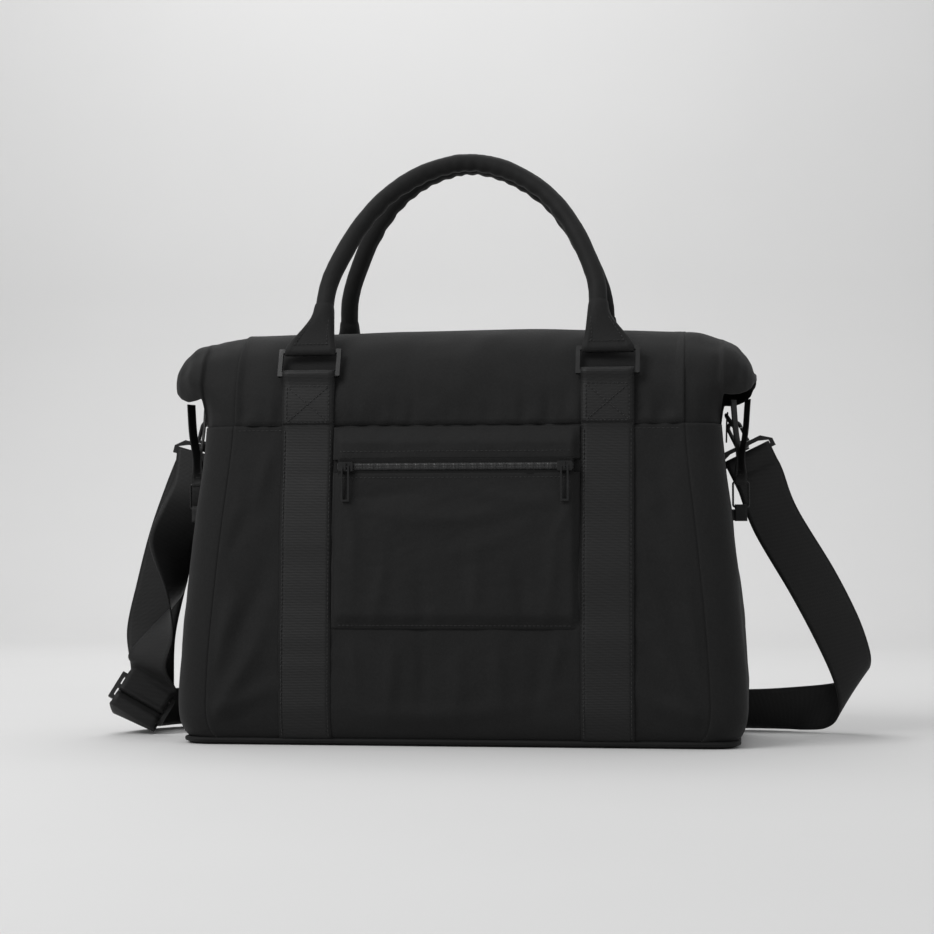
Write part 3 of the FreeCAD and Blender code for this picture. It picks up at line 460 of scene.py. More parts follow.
def front_depth(x, height, face):
    """How far out the front or back panel stands at a place."""
    folds = FRONT_FOLDS if face < 0 else BACK_FOLDS
    swell = 1.6 * math.sin(math.pi * min(1.0, max(0.0, height / SEAM))) - 0.6
    lift = sum(crease(x, height, fold) for fold in folds)
    lift += 0.9 * ripple((x, face * 40, height), 46, 3) + 0.35 * ripple((x, face * 40, height), 17, 5)
    pucker = 0.45 * math.sin(x / 3.4 + 2 * ripple((x, 0, 0), 30, 2)) * math.exp(-abs(height - SEAM) / 7)
    return half_depth(height) + swell + 1.7 * lift * edge_calm(height) + pucker


def broad_cloth(face):
    heights = [5 + (SEAM - 5) * i / 100 for i in range(101)]
    rows = []
    for height in heights:
        half, flat = half_length(height) - CORNER, half_depth(height)
        columns = [half * (2 * j / 150 - 1) for j in range(151)]
        calm = [smooth((half - abs(x)) / 14) for x in columns]
        rows.append([
            Vector((x, face * (flat + (front_depth(x, height, face) - flat) * c), height))
            for x, c in zip(columns, calm)
        ])
    return rows


def hollow(y, height):
    """How far the gusset is pushed in behind the snap hook."""
    return 11.5 * math.exp(-((height - 271) / 26) ** 4) * math.exp(-((y / 17) ** 4))


def gusset_cloth(side):
    rows = []
    for i in range(101):
        height = 5 + (SEAM - 5) * i / 100
        a, b = half_length(height), half_depth(height)
        line = []
        for j in range(91):
            t = j / 90
            if t < 0.25:
                turn = math.radians(-90 + 90 * t / 0.25)
                x, y = a - CORNER + CORNER * math.cos(turn), -(b - CORNER) + CORNER * math.sin(turn)
            elif t > 0.75:
                turn = math.radians(90 * (t - 0.75) / 0.25)
                x, y = a - CORNER + CORNER * math.cos(turn), b - CORNER + CORNER * math.sin(turn)
            else:
                x, y = a, (b - CORNER) * (4 * t - 2)
            calm = edge_calm(height) * smooth(t / 0.14) * smooth((1 - t) / 0.14)
            lift = sum(crease(y, height, fold) for fold in GUSSET_FOLDS)
            spot = (side * 60, y, height)
            lift += 0.9 * ripple(spot, 44, 8) + 0.3 * ripple(spot, 16, 9)
            x += lift * calm - hollow(y, height) * calm
            line.append(Vector((side * x, y, height)))
        rows.append(line if side > 0 else line[::-1])
    return rows


for name, face in FACES.items():
    rows = broad_cloth(face)
    if face > 0:
        rows = [row[::-1] for row in rows]
    fitted(cloth_sheet(f"{name}_cloth", rows, CLOTH, 1.4), "shell_cloth", f"{name}_panel")
for name, side in SIDES.items():
    made = cloth_sheet(f"{name}_gusset_cloth", gusset_cloth(side), CLOTH, 1.4)
    fitted(made, "shell_cloth", f"{name}_gusset")


def lining_cloth():
    """A slack inner bag, open at its mouth."""
    turns_and_painted_shade = [2 * math.pi * j / 96 for j in range(96)]
    rows = [[Vector((0.3 * math.cos(turn), 0.2 * math.sin(turn), 14)) for turn in turns_and_painted_shade]]
    for height in [14, 15, 24, 42, 70, 100, 130, 160, 190, 220, 245, 260, 275, 290, 300]:
        a, b = half_length(height) - 16, half_depth(height) - 6.5
        line = []
        for turn in turns_and_painted_shade:
            c, s = math.cos(turn), math.sin(turn)
            slack = 1.2 * ripple((c * 200, s * 90, height), 40, 4)
            power = 0.34
            x = (a + slack) * math.copysign(abs(c) ** power, c)
            y = (b + slack) * math.copysign(abs(s) ** power, s)
            line.append(Vector((x, y, height)))
        rows.append(line)
    return rows


fitted(cloth_sheet("lining_cloth", lining_cloth(), LINING, 0.6, round_rows=True), "lining_cloth", "lining")

# ---------------------------------------------------------------- the top: yokes and ears

ZIP_HALF = 8
EAR_START = 215


def arch(depth, foot, ridge, steps, power=(0.75, 0.85)):
    """Half the top's arch in the YZ plane, y positive, from the seam up to the ridge."""
    points = []
    for step in range(steps + 1):
        turn = math.pi / 2 * step / steps
        points.append((
            depth * max(0.0, math.cos(turn)) ** power[0], foot + (ridge - foot) * math.sin(turn) ** power[1]
        ))
    return points


def ridge_at(x):
    """The ridge sinks a little towards the ears and between the handles."""
    sunk = 0.5 + 2.0 * smooth((abs(x) - 60) / 80) + 1.5 * smooth((abs(x) - 150) / 60)
    return RIDGE - sunk + 0.6 * math.sin(x / 50)


def yoke_cloth(face):
    rows = []
    profile = [p for p in arch(SEAM_DEPTH, SEAM, RIDGE, 46) if p[0] > ZIP_HALF + 1]
    steps = len(profile)
    lip = [(ZIP_HALF + 0.7, RIDGE - 0.6), (ZIP_HALF + 0.1, RIDGE - 1.6), (ZIP_HALF, RIDGE - 13)]
    for i in range(steps + len(lip)):
        line = []
        for j in range(221):
            x = (EAR_START - 0.4) * (2 * j / 220 - 1)
            drop = RIDGE - ridge_at(x)
            if i < steps:
                y, z = profile[i]
            else:
                y, z = lip[i - steps]
            share = (z - SEAM) / (RIDGE - SEAM)
            if i < steps + 2:
                z -= drop * smooth(share)
            gather = math.exp(-((z - SEAM) / 24) ** 2) * smooth((z - SEAM + 2) / 8)
            waves = math.sin(x / 5.3 + 3.2 * ripple((x, 0, 0), 34, 6))
            waves += 0.6 * math.sin(x / 2.9 + 2 * ripple((x, 0, 4), 21, 2))
            strength = 0.35 + 0.65 * smooth(0.5 + 1.6 * ripple((x, face * 9, 0), 60, 12))
            lift = gather * 1.25 * waves * strength
            calm = smooth(share * 6) * smooth((1 - share) * 7) * (1 if i < steps else 0)
            spot = (x, face * 30, z)
            lift += calm * (3.2 * ripple(spot, 60, 11) + 1.1 * ripple(spot, 22, 13))
            lift -= calm * 2.6 * math.exp(-((abs(x) - 206) / 14) ** 2)
            lift *= smooth((EAR_START - abs(x)) / 8)
            slope = math.atan2(max(0.1, y), 90 * max(0.05, 1 - share))
            out = Vector((0, math.sin(slope + 0.35) if share > 0.1 else 1, share)).normalized()
            line.append(Vector((x, face * (y + lift * out.y), z + lift * out.z)))
        rows.append(line if face < 0 else line[::-1])
    return rows


for name, face in FACES.items():
    fitted(cloth_sheet(f"{name}_yoke_cloth", yoke_cloth(face), CLOTH, 1.3), "shell_cloth", f"{name}_yoke")

# Along an ear: how far out, the share of the depth, the ridge's height, the foot's height.
EARS = {
    "left": [
        (EAR_START - 9, 0.965, 394, 296), (EAR_START, 0.985, 396.6, 297), (228, 0.98, 395, 298),
        (240, 0.965, 392.5, 299), (248, 0.95, 390.6, 300), (250, 0.94, 390.2, 331),
        (258, 0.88, 388.4, 329), (268, 0.80, 385, 328), (277, 0.70, 378, 332),
        (283, 0.58, 369, 338), (286, 0.42, 358, 344),
    ],
    "right": [
        (EAR_START - 9, 0.965, 394, 296), (EAR_START, 0.985, 396.6, 297), (228, 0.98, 395, 298),
        (240, 0.965, 391.5, 299), (248, 0.95, 388.6, 300), (250, 0.94, 388.0, 331),
        (258, 0.88, 385, 330), (266, 0.80, 379, 331), (273, 0.70, 372, 334),
        (278, 0.58, 364, 338), (280.5, 0.42, 356, 344),
    ],
}


def corner_in(out, height):
    """The share of the depth left at the bag's rounded corners, which fade out up the ear."""
    reach = min(max(out - (half_length(SEAM) - CORNER), 0.0), CORNER - 0.5)
    share = (SEAM_DEPTH - CORNER + math.sqrt(CORNER ** 2 - reach ** 2)) / SEAM_DEPTH
    return 1 - (1 - share) * smooth((348 - height) / 46)


def ear_cloth(name, side):
    stations = EARS[name]
    rows = []
    for out, share, ridge, foot in stations:
        half = [(y * corner_in(out, z), z) for y, z in arch(SEAM_DEPTH * share, foot, ridge, 20, power=(0.72, 0.8))]
        line = [Vector((side * out, -y, z)) for y, z in half[:-1]]
        line += [Vector((side * out, y, z)) for y, z in reversed(half)]
        rows.append(line)
    dense = []
    for a, b in zip(rows, rows[1:]):
        steps = 1 if abs(a[0].z - b[0].z) > 20 else 3
        dense += [[p.lerp(q, k / steps) for p, q in zip(a, b)] for k in range(steps)]
    dense.append(rows[-1])
    tip = sum(rows[-1], Vector()) / len(rows[-1])
    for shrink, push in ((0.86, 1.6), (0.6, 2.4), (0.25, 2.6)):
        dense.append([tip + (p - tip) * shrink + Vector((side * push, 0, 0)) for p in rows[-1]])
    ways = normals(dense)
    for i, row in enumerate(dense):
        calm = smooth(i / 5) * smooth((len(dense) - i) / 4)
        for j, p in enumerate(row):
            lift = 1.8 * ripple(p, 26, 21 + side) + 0.6 * ripple(p, 11, 23)
            lift += 1.6 * math.exp(-((p.x * side - 262 - 0.06 * (p.z - 360)) / 4.5) ** 2)
            edge = smooth(min(j, len(row) - 1 - j) / 3)
            row[j] = p + ways[i][j] * (lift * calm * edge * (-1 if side > 0 else 1))
    return dense


for name, side in SIDES.items():
    rows = ear_cloth(name, side)
    if side > 0:
        rows = [row[::-1] for row in rows]
    made = cloth_sheet(f"{name}_ear_cloth", rows, CLOTH, 1.3, levels=1)
    fitted(made, "shell_cloth", f"{name}_ear")


def tucked_cloth(side):
    """The gusset's top, folded in behind the ear, which closes the bag's end."""
    rows = []
    for y, z in arch(89, 297, 384, 26, power=(0.72, 0.8)):
        row = []
        for j in range(61):
            across = max(y, 0.5) * corner_in(246, z) * 0.97 * (2 * j / 60 - 1)
            inward = 2.0 + 9 * smooth((z - 300) / 80)
            inward += 3.5 * smooth((z - 306) / 30) * math.exp(-(across / 18) ** 2)
            inward += 1.4 * smooth((z - 300) / 14) * ripple((side * 60, across, z), 24, 27)
            row.append(Vector((side * (248 - inward), across, z)))
        rows.append(row if side > 0 else row[::-1])
    return rows


for name, side in SIDES.items():
    made = cloth_sheet(f"{name}_tucked_cloth", tucked_cloth(side), CLOTH, 1.0)
    fitted(made, "shell_cloth")

# ---------------------------------------------------------------- webbing, rings and handles

SPREAD, STANDOFF, LIFT = 286, 94, 352
LEAN = math.asin((STANDOFF - 9.15) / 233)
LOOP = 3.85


def yoke_depth(height):
    """How far out the yokes stand at a height."""
    points = arch(SEAM_DEPTH, SEAM, RIDGE, 40)
    for (y0, z0), (y1, z1) in zip(points, points[1:]):
        if z0 <= height <= z1:
            return y0 + (y1 - y0) * (height - z0) / (z1 - z0)
    return points[0][0]


def webbing_line(x, face):
    """The side view of a strip: up the bag, round the ring's lower bar and down over itself."""
    line = []
    for step in range(60):
        height = 6 + (SEAM - 6) * step / 60
        line.append((front_depth(x, height, face) + 0.75, height))
    line += [(yoke_depth(h) + 1.0, h) for h in (SEAM, 311, 320, 330, 338)]
    line += [(yoke_depth(345) + 0.2, 345), (STANDOFF - LOOP - 0.3, 348.8)]
    for step in range(1, 12):
        turn = math.pi - math.pi * 1.02 * step / 11
        line.append((STANDOFF + LOOP * math.cos(turn), LIFT + LOOP * math.sin(turn)))
    line += [(STANDOFF + 1.6, 346.2), (yoke_depth(341) + 3.0, 341)]
    line += [(yoke_depth(h) + 2.7, h) for h in (335, 327, 318, 310, 305)]
    return line


def fine_line(line, step):
    """The same bent line with a point every step."""
    made = [line[0]]
    for a, b in zip(line, line[1:]):
        parts = max(1, round(math.dist(a, b) / step))
        made += [tuple(p + (q - p) * k / parts for p, q in zip(a, b)) for k in range(1, parts + 1)]
    return made


def strip_rows(line, x, face, width, wave):
    rows = []
    for number, (depth, height) in enumerate(fine_line(line, 3)):
        row = []
        for j in range(9):
            across = width * (j / 8 - 0.5)
            cup = wave * ripple((x, height, number * 3), 34, 31) - 0.35 * (abs(across) / (width / 2)) ** 4
            row.append(Vector((x + across, face * (depth + cup), height)))
        rows.append(row if face < 0 else row[::-1])
    return rows


def webbing_stitches(x, face):
    """Edge stitching all the way up, and a crossed box above the seam."""
    made = []
    out = Vector((0, face, 0))
    for across in (-22.2, 22.2):
        line = [
            Vector((x + across, face * (front_depth(x, h, face) + 1.75), h)) for h in range(8, SEAM - 1, 4)
        ]
        made += seam_stitches(line, [out] * len(line))
    corners = [(-20.5, 306), (20.5, 306), (20.5, 341), (-20.5, 341)]

    def placed(point):
        across, height = point
        return Vector((x + across, face * (yoke_depth(height) + 3.75), height))

    runs = [(corners[i], corners[(i + 1) % 4]) for i in range(4)]
    runs += [(corners[0], corners[2]), (corners[1], corners[3])]
    for a, b in runs:
        line = [placed([p + (q - p) * k / 10 for p, q in zip(a, b)]) for k in range(11)]
        slope = Vector((0, face, 0.35)).normalized()
        made += seam_stitches(line, [slope] * len(line), 3.0, 1.0)
    return made


for face_name, face in FACES.items():
    for side_name, side in SIDES.items():
        x = side * SPREAD / 2
        rows = strip_rows(webbing_line(x, face), x, face, 50, 0.35)
        made = cloth_sheet(f"webbing_{face_name}_{side_name}_strip", rows, BODY_WEBBING, 1.5, offset=0)
        fitted(made, "webbing", f"webbing_{face_name}_{side_name}")
        thread = one_mesh(f"webbing_{face_name}_{side_name}_thread", webbing_stitches(x, face), THREAD)
        fitted(thread, "webbing")

# Half of a handle's line as shares: out from the middle, and up from the foot.
HANDLE_SHAPE = [
    (1, 0), (0.985, 0.17), (0.92, 0.34), (0.775, 0.585), (0.58, 0.79), (0.34, 0.928), (0.135, 0.988), (0, 1),
]
FOOT, FOOT_RISE, TOP_RISE = 133, 65, 233


def handle_centres(count):
    """Points along a handle's middle, from its left foot to its right one, and up its own lean."""
    half = [(FOOT * out, FOOT_RISE + (TOP_RISE - FOOT_RISE) * up) for out, up in HANDLE_SHAPE]
    points = [(-x, h) for x, h in half] + [(x, h) for x, h in reversed(half[:-1])]
    stations = list(range(len(points)))
    made = []
    for k in range(count + 1):
        place = (len(points) - 1) * k / count
        made.append(tuple(curve_through(stations, [p[i] for p in points], place) for i in (0, 1)))
    return made


def lean_out(x, h, depth, face):
    """From a handle's own plane (x, h up the lean, depth towards its front) to the bag's frame."""
    return Vector((
        x, face * (STANDOFF - h * math.sin(LEAN) + depth * math.cos(LEAN)),
        LIFT + h * math.cos(LEAN) + depth * math.sin(LEAN),
    ))


def handle_tube(face):
    centres = handle_centres(170)
    rows = []
    for i, (x, h) in enumerate(centres):
        a, b = centres[max(i - 1, 0)], centres[min(i + 1, len(centres) - 1)]
        way = Vector((b[0] - a[0], b[1] - a[1])).normalized()
        side = Vector((-way.y, way.x))
        row = []
        for k in range(30):
            turn = 2 * math.pi * k / 30
            inner = max(0.0, -math.cos(turn)) * smooth((h - 120) / 70)
            lift = 0.55 * ripple((x, h, 60 + k * 0.9), 26, 41 + face)
            lift += inner * (0.6 * math.sin(x / 2.1 + 1.6 * ripple((x, h, k), 18, 44)) - 0.25)
            lift += 0.25 * ripple((x * 1.6, h, k * 2), 7, 45)
            lift -= 0.55 * math.exp(-((turn - math.pi * 1.18) / 0.11) ** 2)
            radius = 8.9 + lift
            row.append(lean_out(
                x + side.x * math.cos(turn) * radius, h + side.y * math.cos(turn) * radius,
                math.sin(turn) * radius, face,
            ))
        rows.append(row if face > 0 else row[::-1])
    return rows


def handle_tab(side, face):
    """The folded end of a handle's cover: flat and wide round the ring, narrowing to the tube."""
    stations = [
        (20.4, 24.6, 0.6), (20.9, 24.9, 2.4), (22.4, 25, 3.9), (25, 25, 4.7), (28, 24.6, 4.3), (33, 22.6, 4.2),
        (40, 19.4, 4.8), (47, 16.2, 6.0), (54, 13.4, 7.6), (60, 11.4, 9.1), (66, 10.3, 9.9), (71, 9.9, 9.8),
        (74, 9.2, 9.2),
    ]
    rows = []
    for h, wide, deep in stations:
        middle = side * (143 - 10 * smooth((h - 25) / 42))
        square = 4.2 - 2.0 * smooth((h - 30) / 34)
        row = []
        for k in range(40):
            turn = 2 * math.pi * k / 40
            c, s = math.cos(turn), math.sin(turn)
            x = wide * math.copysign(abs(c) ** (2 / square), c)
            depth = deep * math.copysign(abs(s) ** (2 / square), s)
            ridge = math.exp(-((abs(x) - wide * 0.80) / 2.0) ** 2)
            ridge *= smooth((70 - h) / 20) * smooth((h - 22) / 4)
            depth += math.copysign(0.9 * ridge + 0.35 * ripple((x, h, s * 6), 9, 51), s)
            row.append(lean_out(middle + x, h, depth, face))
        rows.append(row if face > 0 else row[::-1])
    return rows


def tab_stitches(side, face):
    made = []
    for sign in (-1, 1):
        line, outs = [], []
        for k in range(12):
            h = 29 + 27 * k / 11
            wide = 24.6 - (h - 28) * 0.435
            middle = side * (143 - 10 * smooth((h - 25) / 42))
            line.append(lean_out(middle + sign * wide * 0.66, h, 4.9 + max(0, h - 40) * 0.13, face))
            outs.append(Vector((0, face, 0.3)))
        made += seam_stitches(line, outs, 2.8, 1.0, 0.36)
    line = [lean_out(side * 142 + x, 30.5, 4.75, face) for x in range(-18, 19, 4)]
    return made + seam_stitches(line, [Vector((0, face, 0.3))] * len(line), 2.8, 1.0, 0.36)


for face_name, face in FACES.items():
    body = f"handle_{face_name}"
    tube = cloth_sheet(f"{body}_tube", handle_tube(face), HANDLE_CLOTH, round_rows=True)
    fitted(tube, "handle_cloth", f"{body}_cover", body=body)
    for side_name, side in SIDES.items():
        rows = handle_tab(side, face)
        tab = cloth_sheet(f"{body}_tab_{side_name}", rows, HANDLE_CLOTH, round_rows=True, levels=1)
        fitted(tab, "handle_cloth", f"{body}_tabs", body=body)
        thread = one_mesh(f"{body}_tab_{side_name}_thread", tab_stitches(side, face), THREAD)
        fitted(thread, "handle_cloth", body=body)

# ---------------------------------------------------------------- front pocket and zips

coil_low, coil_high = box_of("pocket_zip_coil")
ZIP_OUT = -(coil_low.y + coil_high.y) / 2
ZIP_UP = (coil_low.z + coil_high.z) / 2
POCKET_HALF = 117.6
POCKET_BOTTOM, POCKET_TOP = 110, 301
POCKET_FOLDS = [
    (-70, 150, 82, 30, 7, 1.2), (-30, 140, 95, 34, 8, -1.0), (20, 150, 88, 36, 8, 1.2),
    (64, 142, 96, 30, 7, -0.9), (92, 160, 84, 36, 7, 1.0), (-96, 190, 92, 40, 7, 1.0),
    (0, 214, 4, 60, 8, 0.9), (60, 232, -6, 40, 7, 0.9), (-60, 236, 5, 40, 7, -0.8),
    (104, 216, 70, 22, 6, 1.0), (-104, 232, 110, 20, 6, 1.0), (30, 190, 20, 44, 10, 0.9),
]


def pocket_out(x, height):
    """How far out the pocket's cloth stands; it meets the zip's plane in the middle."""
    edge = half_depth(height) + 1.2
    full = ZIP_OUT - (ZIP_UP - height) * (half_depth(263) - half_depth(height)) / (263 - height + 1e-6)
    rise = full - edge
    rise *= smooth((height - POCKET_BOTTOM + 1) / 16) * smooth((POCKET_TOP + 1 - height) / 18)
    flank = smooth((POCKET_HALF - abs(x) + 0.5) / 9)
    lift = 1.7 * sum(crease(x, height, fold) for fold in POCKET_FOLDS)
    lift += 1.2 * ripple((x, 0, height), 38, 61) + 0.3 * ripple((x, 0, height * 1.7), 12, 62)
    pucker = math.sin(x / 4.2 + 2 * ripple((x, 0, 0), 30, 63))
    lift += 0.55 * pucker * math.exp(-abs(height - POCKET_BOTTOM - 7) / 7)
    calm = smooth((height - POCKET_BOTTOM) / 8) * smooth(abs(height - ZIP_UP) / 16) * flank
    return edge + rise * flank + lift * calm


def pocket_rows(heights):
    rows = []
    for height in heights:
        row = []
        for j in range(131):
            x = POCKET_HALF * (2 * j / 130 - 1)
            row.append(Vector((x, -pocket_out(x, height), height)))
        rows.append(row)
    return rows


def turned_in(rows, where, depth):
    """The folded edge of cloth beside a zip: one row tucked back behind the row at where."""
    edge = rows[where]
    direction = 1 if where else -1
    tucks = [
        [p + Vector((0, depth * s, direction * r)) for p in edge] for s, r in ((0.35, 0.7), (1.0, 0.5))
    ]
    return rows + tucks if where else tucks[::-1] + rows


lower = pocket_rows([POCKET_BOTTOM + (ZIP_UP - 6.5 - POCKET_BOTTOM) * i / 70 for i in range(71)])
upper = pocket_rows([ZIP_UP + 7.5 + (POCKET_TOP - ZIP_UP - 7.5) * i / 22 for i in range(23)])
for name, node, rows in (
    ("pocket_cloth", "pocket_panel", turned_in(lower, -1, 2.2)),
    ("pocket_header_cloth", "pocket_header", turned_in(upper, 0, 2.2)),
):
    fitted(cloth_sheet(name, rows, POCKET_CLOTH, 1.0), "shell_cloth", node)
thread = []
for height in (ZIP_UP - 10.5, ZIP_UP + 14.5, POCKET_BOTTOM + 3.5):
    line = [Vector((x, -pocket_out(x, height) - 0.1, height)) for x in range(-112, 113, 4)]
    thread += seam_stitches(line, [Vector((0, -1, 0))] * len(line), 3.0, 1.1, 0.36)
fitted(one_mesh("pocket_thread", thread, THREAD), "shell_cloth")

seam_thread = []
for face in FACES.values():
    line = [
        Vector((x, face * (front_depth(x, SEAM - 4.5, face) + 0.1), SEAM - 4.5)) for x in range(-212, 213, 4)
    ]
    seam_thread += seam_stitches(line, [Vector((0, face, 0))] * len(line), 3.2, 1.2, 0.34)
fitted(one_mesh("seam_thread", seam_thread, THREAD), "shell_cloth")


def zip_tape(name, low, high, along, out, seed):
    """One cloth tape, with a slight wave; along and out are the zip's own axes as vectors."""
    across = Vector((0, 1, 0)) if out.z > 0.5 else Vector((0, 0, 1))
    rows = []
    steps = 120
    for j in range(7):
        row = []
        for i in range(steps + 1):
            start = low + along * ((high - low).dot(along) * i / steps)
            place = start + across * ((high - low).dot(across) * j / 6)
            row.append(place + out * (0.25 * ripple(place, 20, seed)))
        rows.append(row)
    return cloth_sheet(name, rows, TAPE, 0.6, offset=0)


def zip_coil(name, middle_low, middle_high, out, across, width, depth):
    """A closed chain: a domed strip whose turns stand up as ridges, parted by a line down its middle."""
    length = (middle_high - middle_low).length
    way = (middle_high - middle_low) / length
    pitch = 1.5
    rows = []
    count = int(length / pitch * 3)
    for i in range(count + 1):
        place = middle_low + way * (length * i / count)
        ridge = (0.0, 0.42, 0.30)[i % 3]
        row = []
        for k in range(9):
            share = k / 4 - 1
            dome = (1 - abs(share) ** 2.6) * depth / 2 + ridge * (1 - abs(share) ** 4)
            dome -= 0.45 * math.exp(-((share / 0.16) ** 2))
            row.append(place + across * (share * width / 2) + out * dome)
        rows.append(row)
    return cloth_sheet(name, rows, COIL, 0.8)


X_AXIS, Y_AXIS, Z_AXIS = Vector((1, 0, 0)), Vector((0, 1, 0)), Vector((0, 0, 1))
for kind, out in (("pocket", -Y_AXIS), ("top", Z_AXIS)):
    low, high = box_of(f"{kind}_zip_tapes")
    middle = (low + high) / 2
    across = Z_AXIS if kind == "pocket" else Y_AXIS
    half = (high - low).dot(across) / 2
    for number, sign in enumerate((-1, 1)):
        edges = sorted((sign * 3.1, sign * (half + (2.5 if kind == "pocket" else 0.2))))
        a, b = (
            Vector((x, middle.y if kind == "pocket" else e, ZIP_UP + e if kind == "pocket" else middle.z))
            for x, e in zip((low.x, high.x), edges)
        )
        tape = zip_tape(f"{kind}_tape_{number}", a, b, X_AXIS, out, 71 + number)
        fitted(tape, "zip_cloth", f"{kind}_zip_tapes")
    coil_ends = (Vector((x, middle.y, middle.z)) for x in (low.x, high.x))
    made = zip_coil(f"{kind}_coil", *coil_ends, out, across, 6, 2.2)
    fitted(made, "zip_cloth", f"{kind}_zip_coil")


# ---------------------------------------------------------------- base: panel and piping

def rounded_outline(half_x, half_y, radius, steps=14):
    """Points round a rounded rectangle, anticlockwise from the middle of its right side."""
    points = []
    for sx, sy, start in ((1, 1, 0), (-1, 1, 90), (-1, -1, 180), (1, -1, 270)):
        centre = Vector((sx * (half_x - radius), sy * (half_y - radius)))
        for k in range(steps + 1):
            turn = math.radians(start + 90 * k / steps)
            points.append(centre + Vector((math.cos(turn), math.sin(turn))) * radius)
    return fine_line([tuple(p) for p in points] + [tuple(points[0])], 5)[:-1]


def piping_cord():
    """A covered cord sewn round the base; its flange is hidden in the seam."""
    line = rounded_outline(263.5, 101, 25)
    rows = []
    for i, (x, y) in enumerate(line + line[:1]):
        before, after = line[i - 1 if i < len(line) else -1], line[(i + 1) % len(line)]
        way = (Vector(after) - Vector(before)).normalized()
        out = Vector((way.y, -way.x, 0))
        radius = 2.35 + 0.16 * ripple((x, y, 0), 9, 81)
        rows.append([
            Vector((x, y, 4.3)) + (out * math.cos(t) + Vector((0, 0, 1)) * math.sin(t)) * radius
            for t in (2 * math.pi * k / 12 for k in range(12))
        ])
    return [row[::-1] for row in rows]


def base_cloth():
    """The panel under the bag, stretched over a board."""
    line = rounded_outline(262, 99.5, 24)
    rows = []
    for share in (1.0, 0.985, 0.96, 0.9, 0.8, 0.65, 0.5, 0.35, 0.2, 0.08, 0.01):
        rise = 0.25 * ripple((share * 200, 0, 0), 60, 82) if share < 0.95 else 0
        up = 2.2 if share == 1.0 else 0.35 + max(0, rise)
        rows.append([Vector((x * share, y * share, up)) for x, y in line])
    return rows


fitted(cloth_sheet("base_piping_cord", piping_cord(), PIPING, round_rows=True), "piping", "base_piping")
fitted(cloth_sheet("base_cloth", base_cloth(), CLOTH, 1.0, round_rows=True), "shell_cloth", "base_panel")

# ---------------------------------------------------------------- side hardware: narrow webbing

TETHER_Y = -30


def flat_band(name, line, width, side_axis, finish, thickness, slot, *nodes, wave=0.3, seed=91, twist=None):
    """A narrow band along a line of points; side_axis runs across it where it isn't twisted."""
    rows = []
    for i, place in enumerate(line):
        way = (line[min(i + 1, len(line) - 1)] - line[max(i - 1, 0)]).normalized()
        side = (side_axis - way * side_axis.dot(way)).normalized()
        if twist:
            side = Matrix.Rotation(twist(i / (len(line) - 1)), 3, way) @ side
        face = side.cross(way)
        row = []
        for j in range(7):
            across = width * (j / 6 - 0.5)
            lift = wave * ripple((across, i * 2.0, seed), 14, seed) + 0.18 * (abs(across) / width * 2) ** 6
            row.append(place + side * across + face * lift)
        rows.append(row)
    return fitted(cloth_sheet(name, rows, finish, thickness, offset=0), slot, *nodes)


def smooth_line(points, step=2.5):
    """A smooth line through points, evenly stepped."""
    stations = list(range(len(points)))
    count = max(6, int(sum((b - a).length for a, b in zip(points, points[1:])) / step))
    return [
        Vector([
            curve_through(stations, [p[axis] for p in points], (len(points) - 1) * k / count)
            for axis in range(3)
        ]) for k in range(count + 1)
    ]


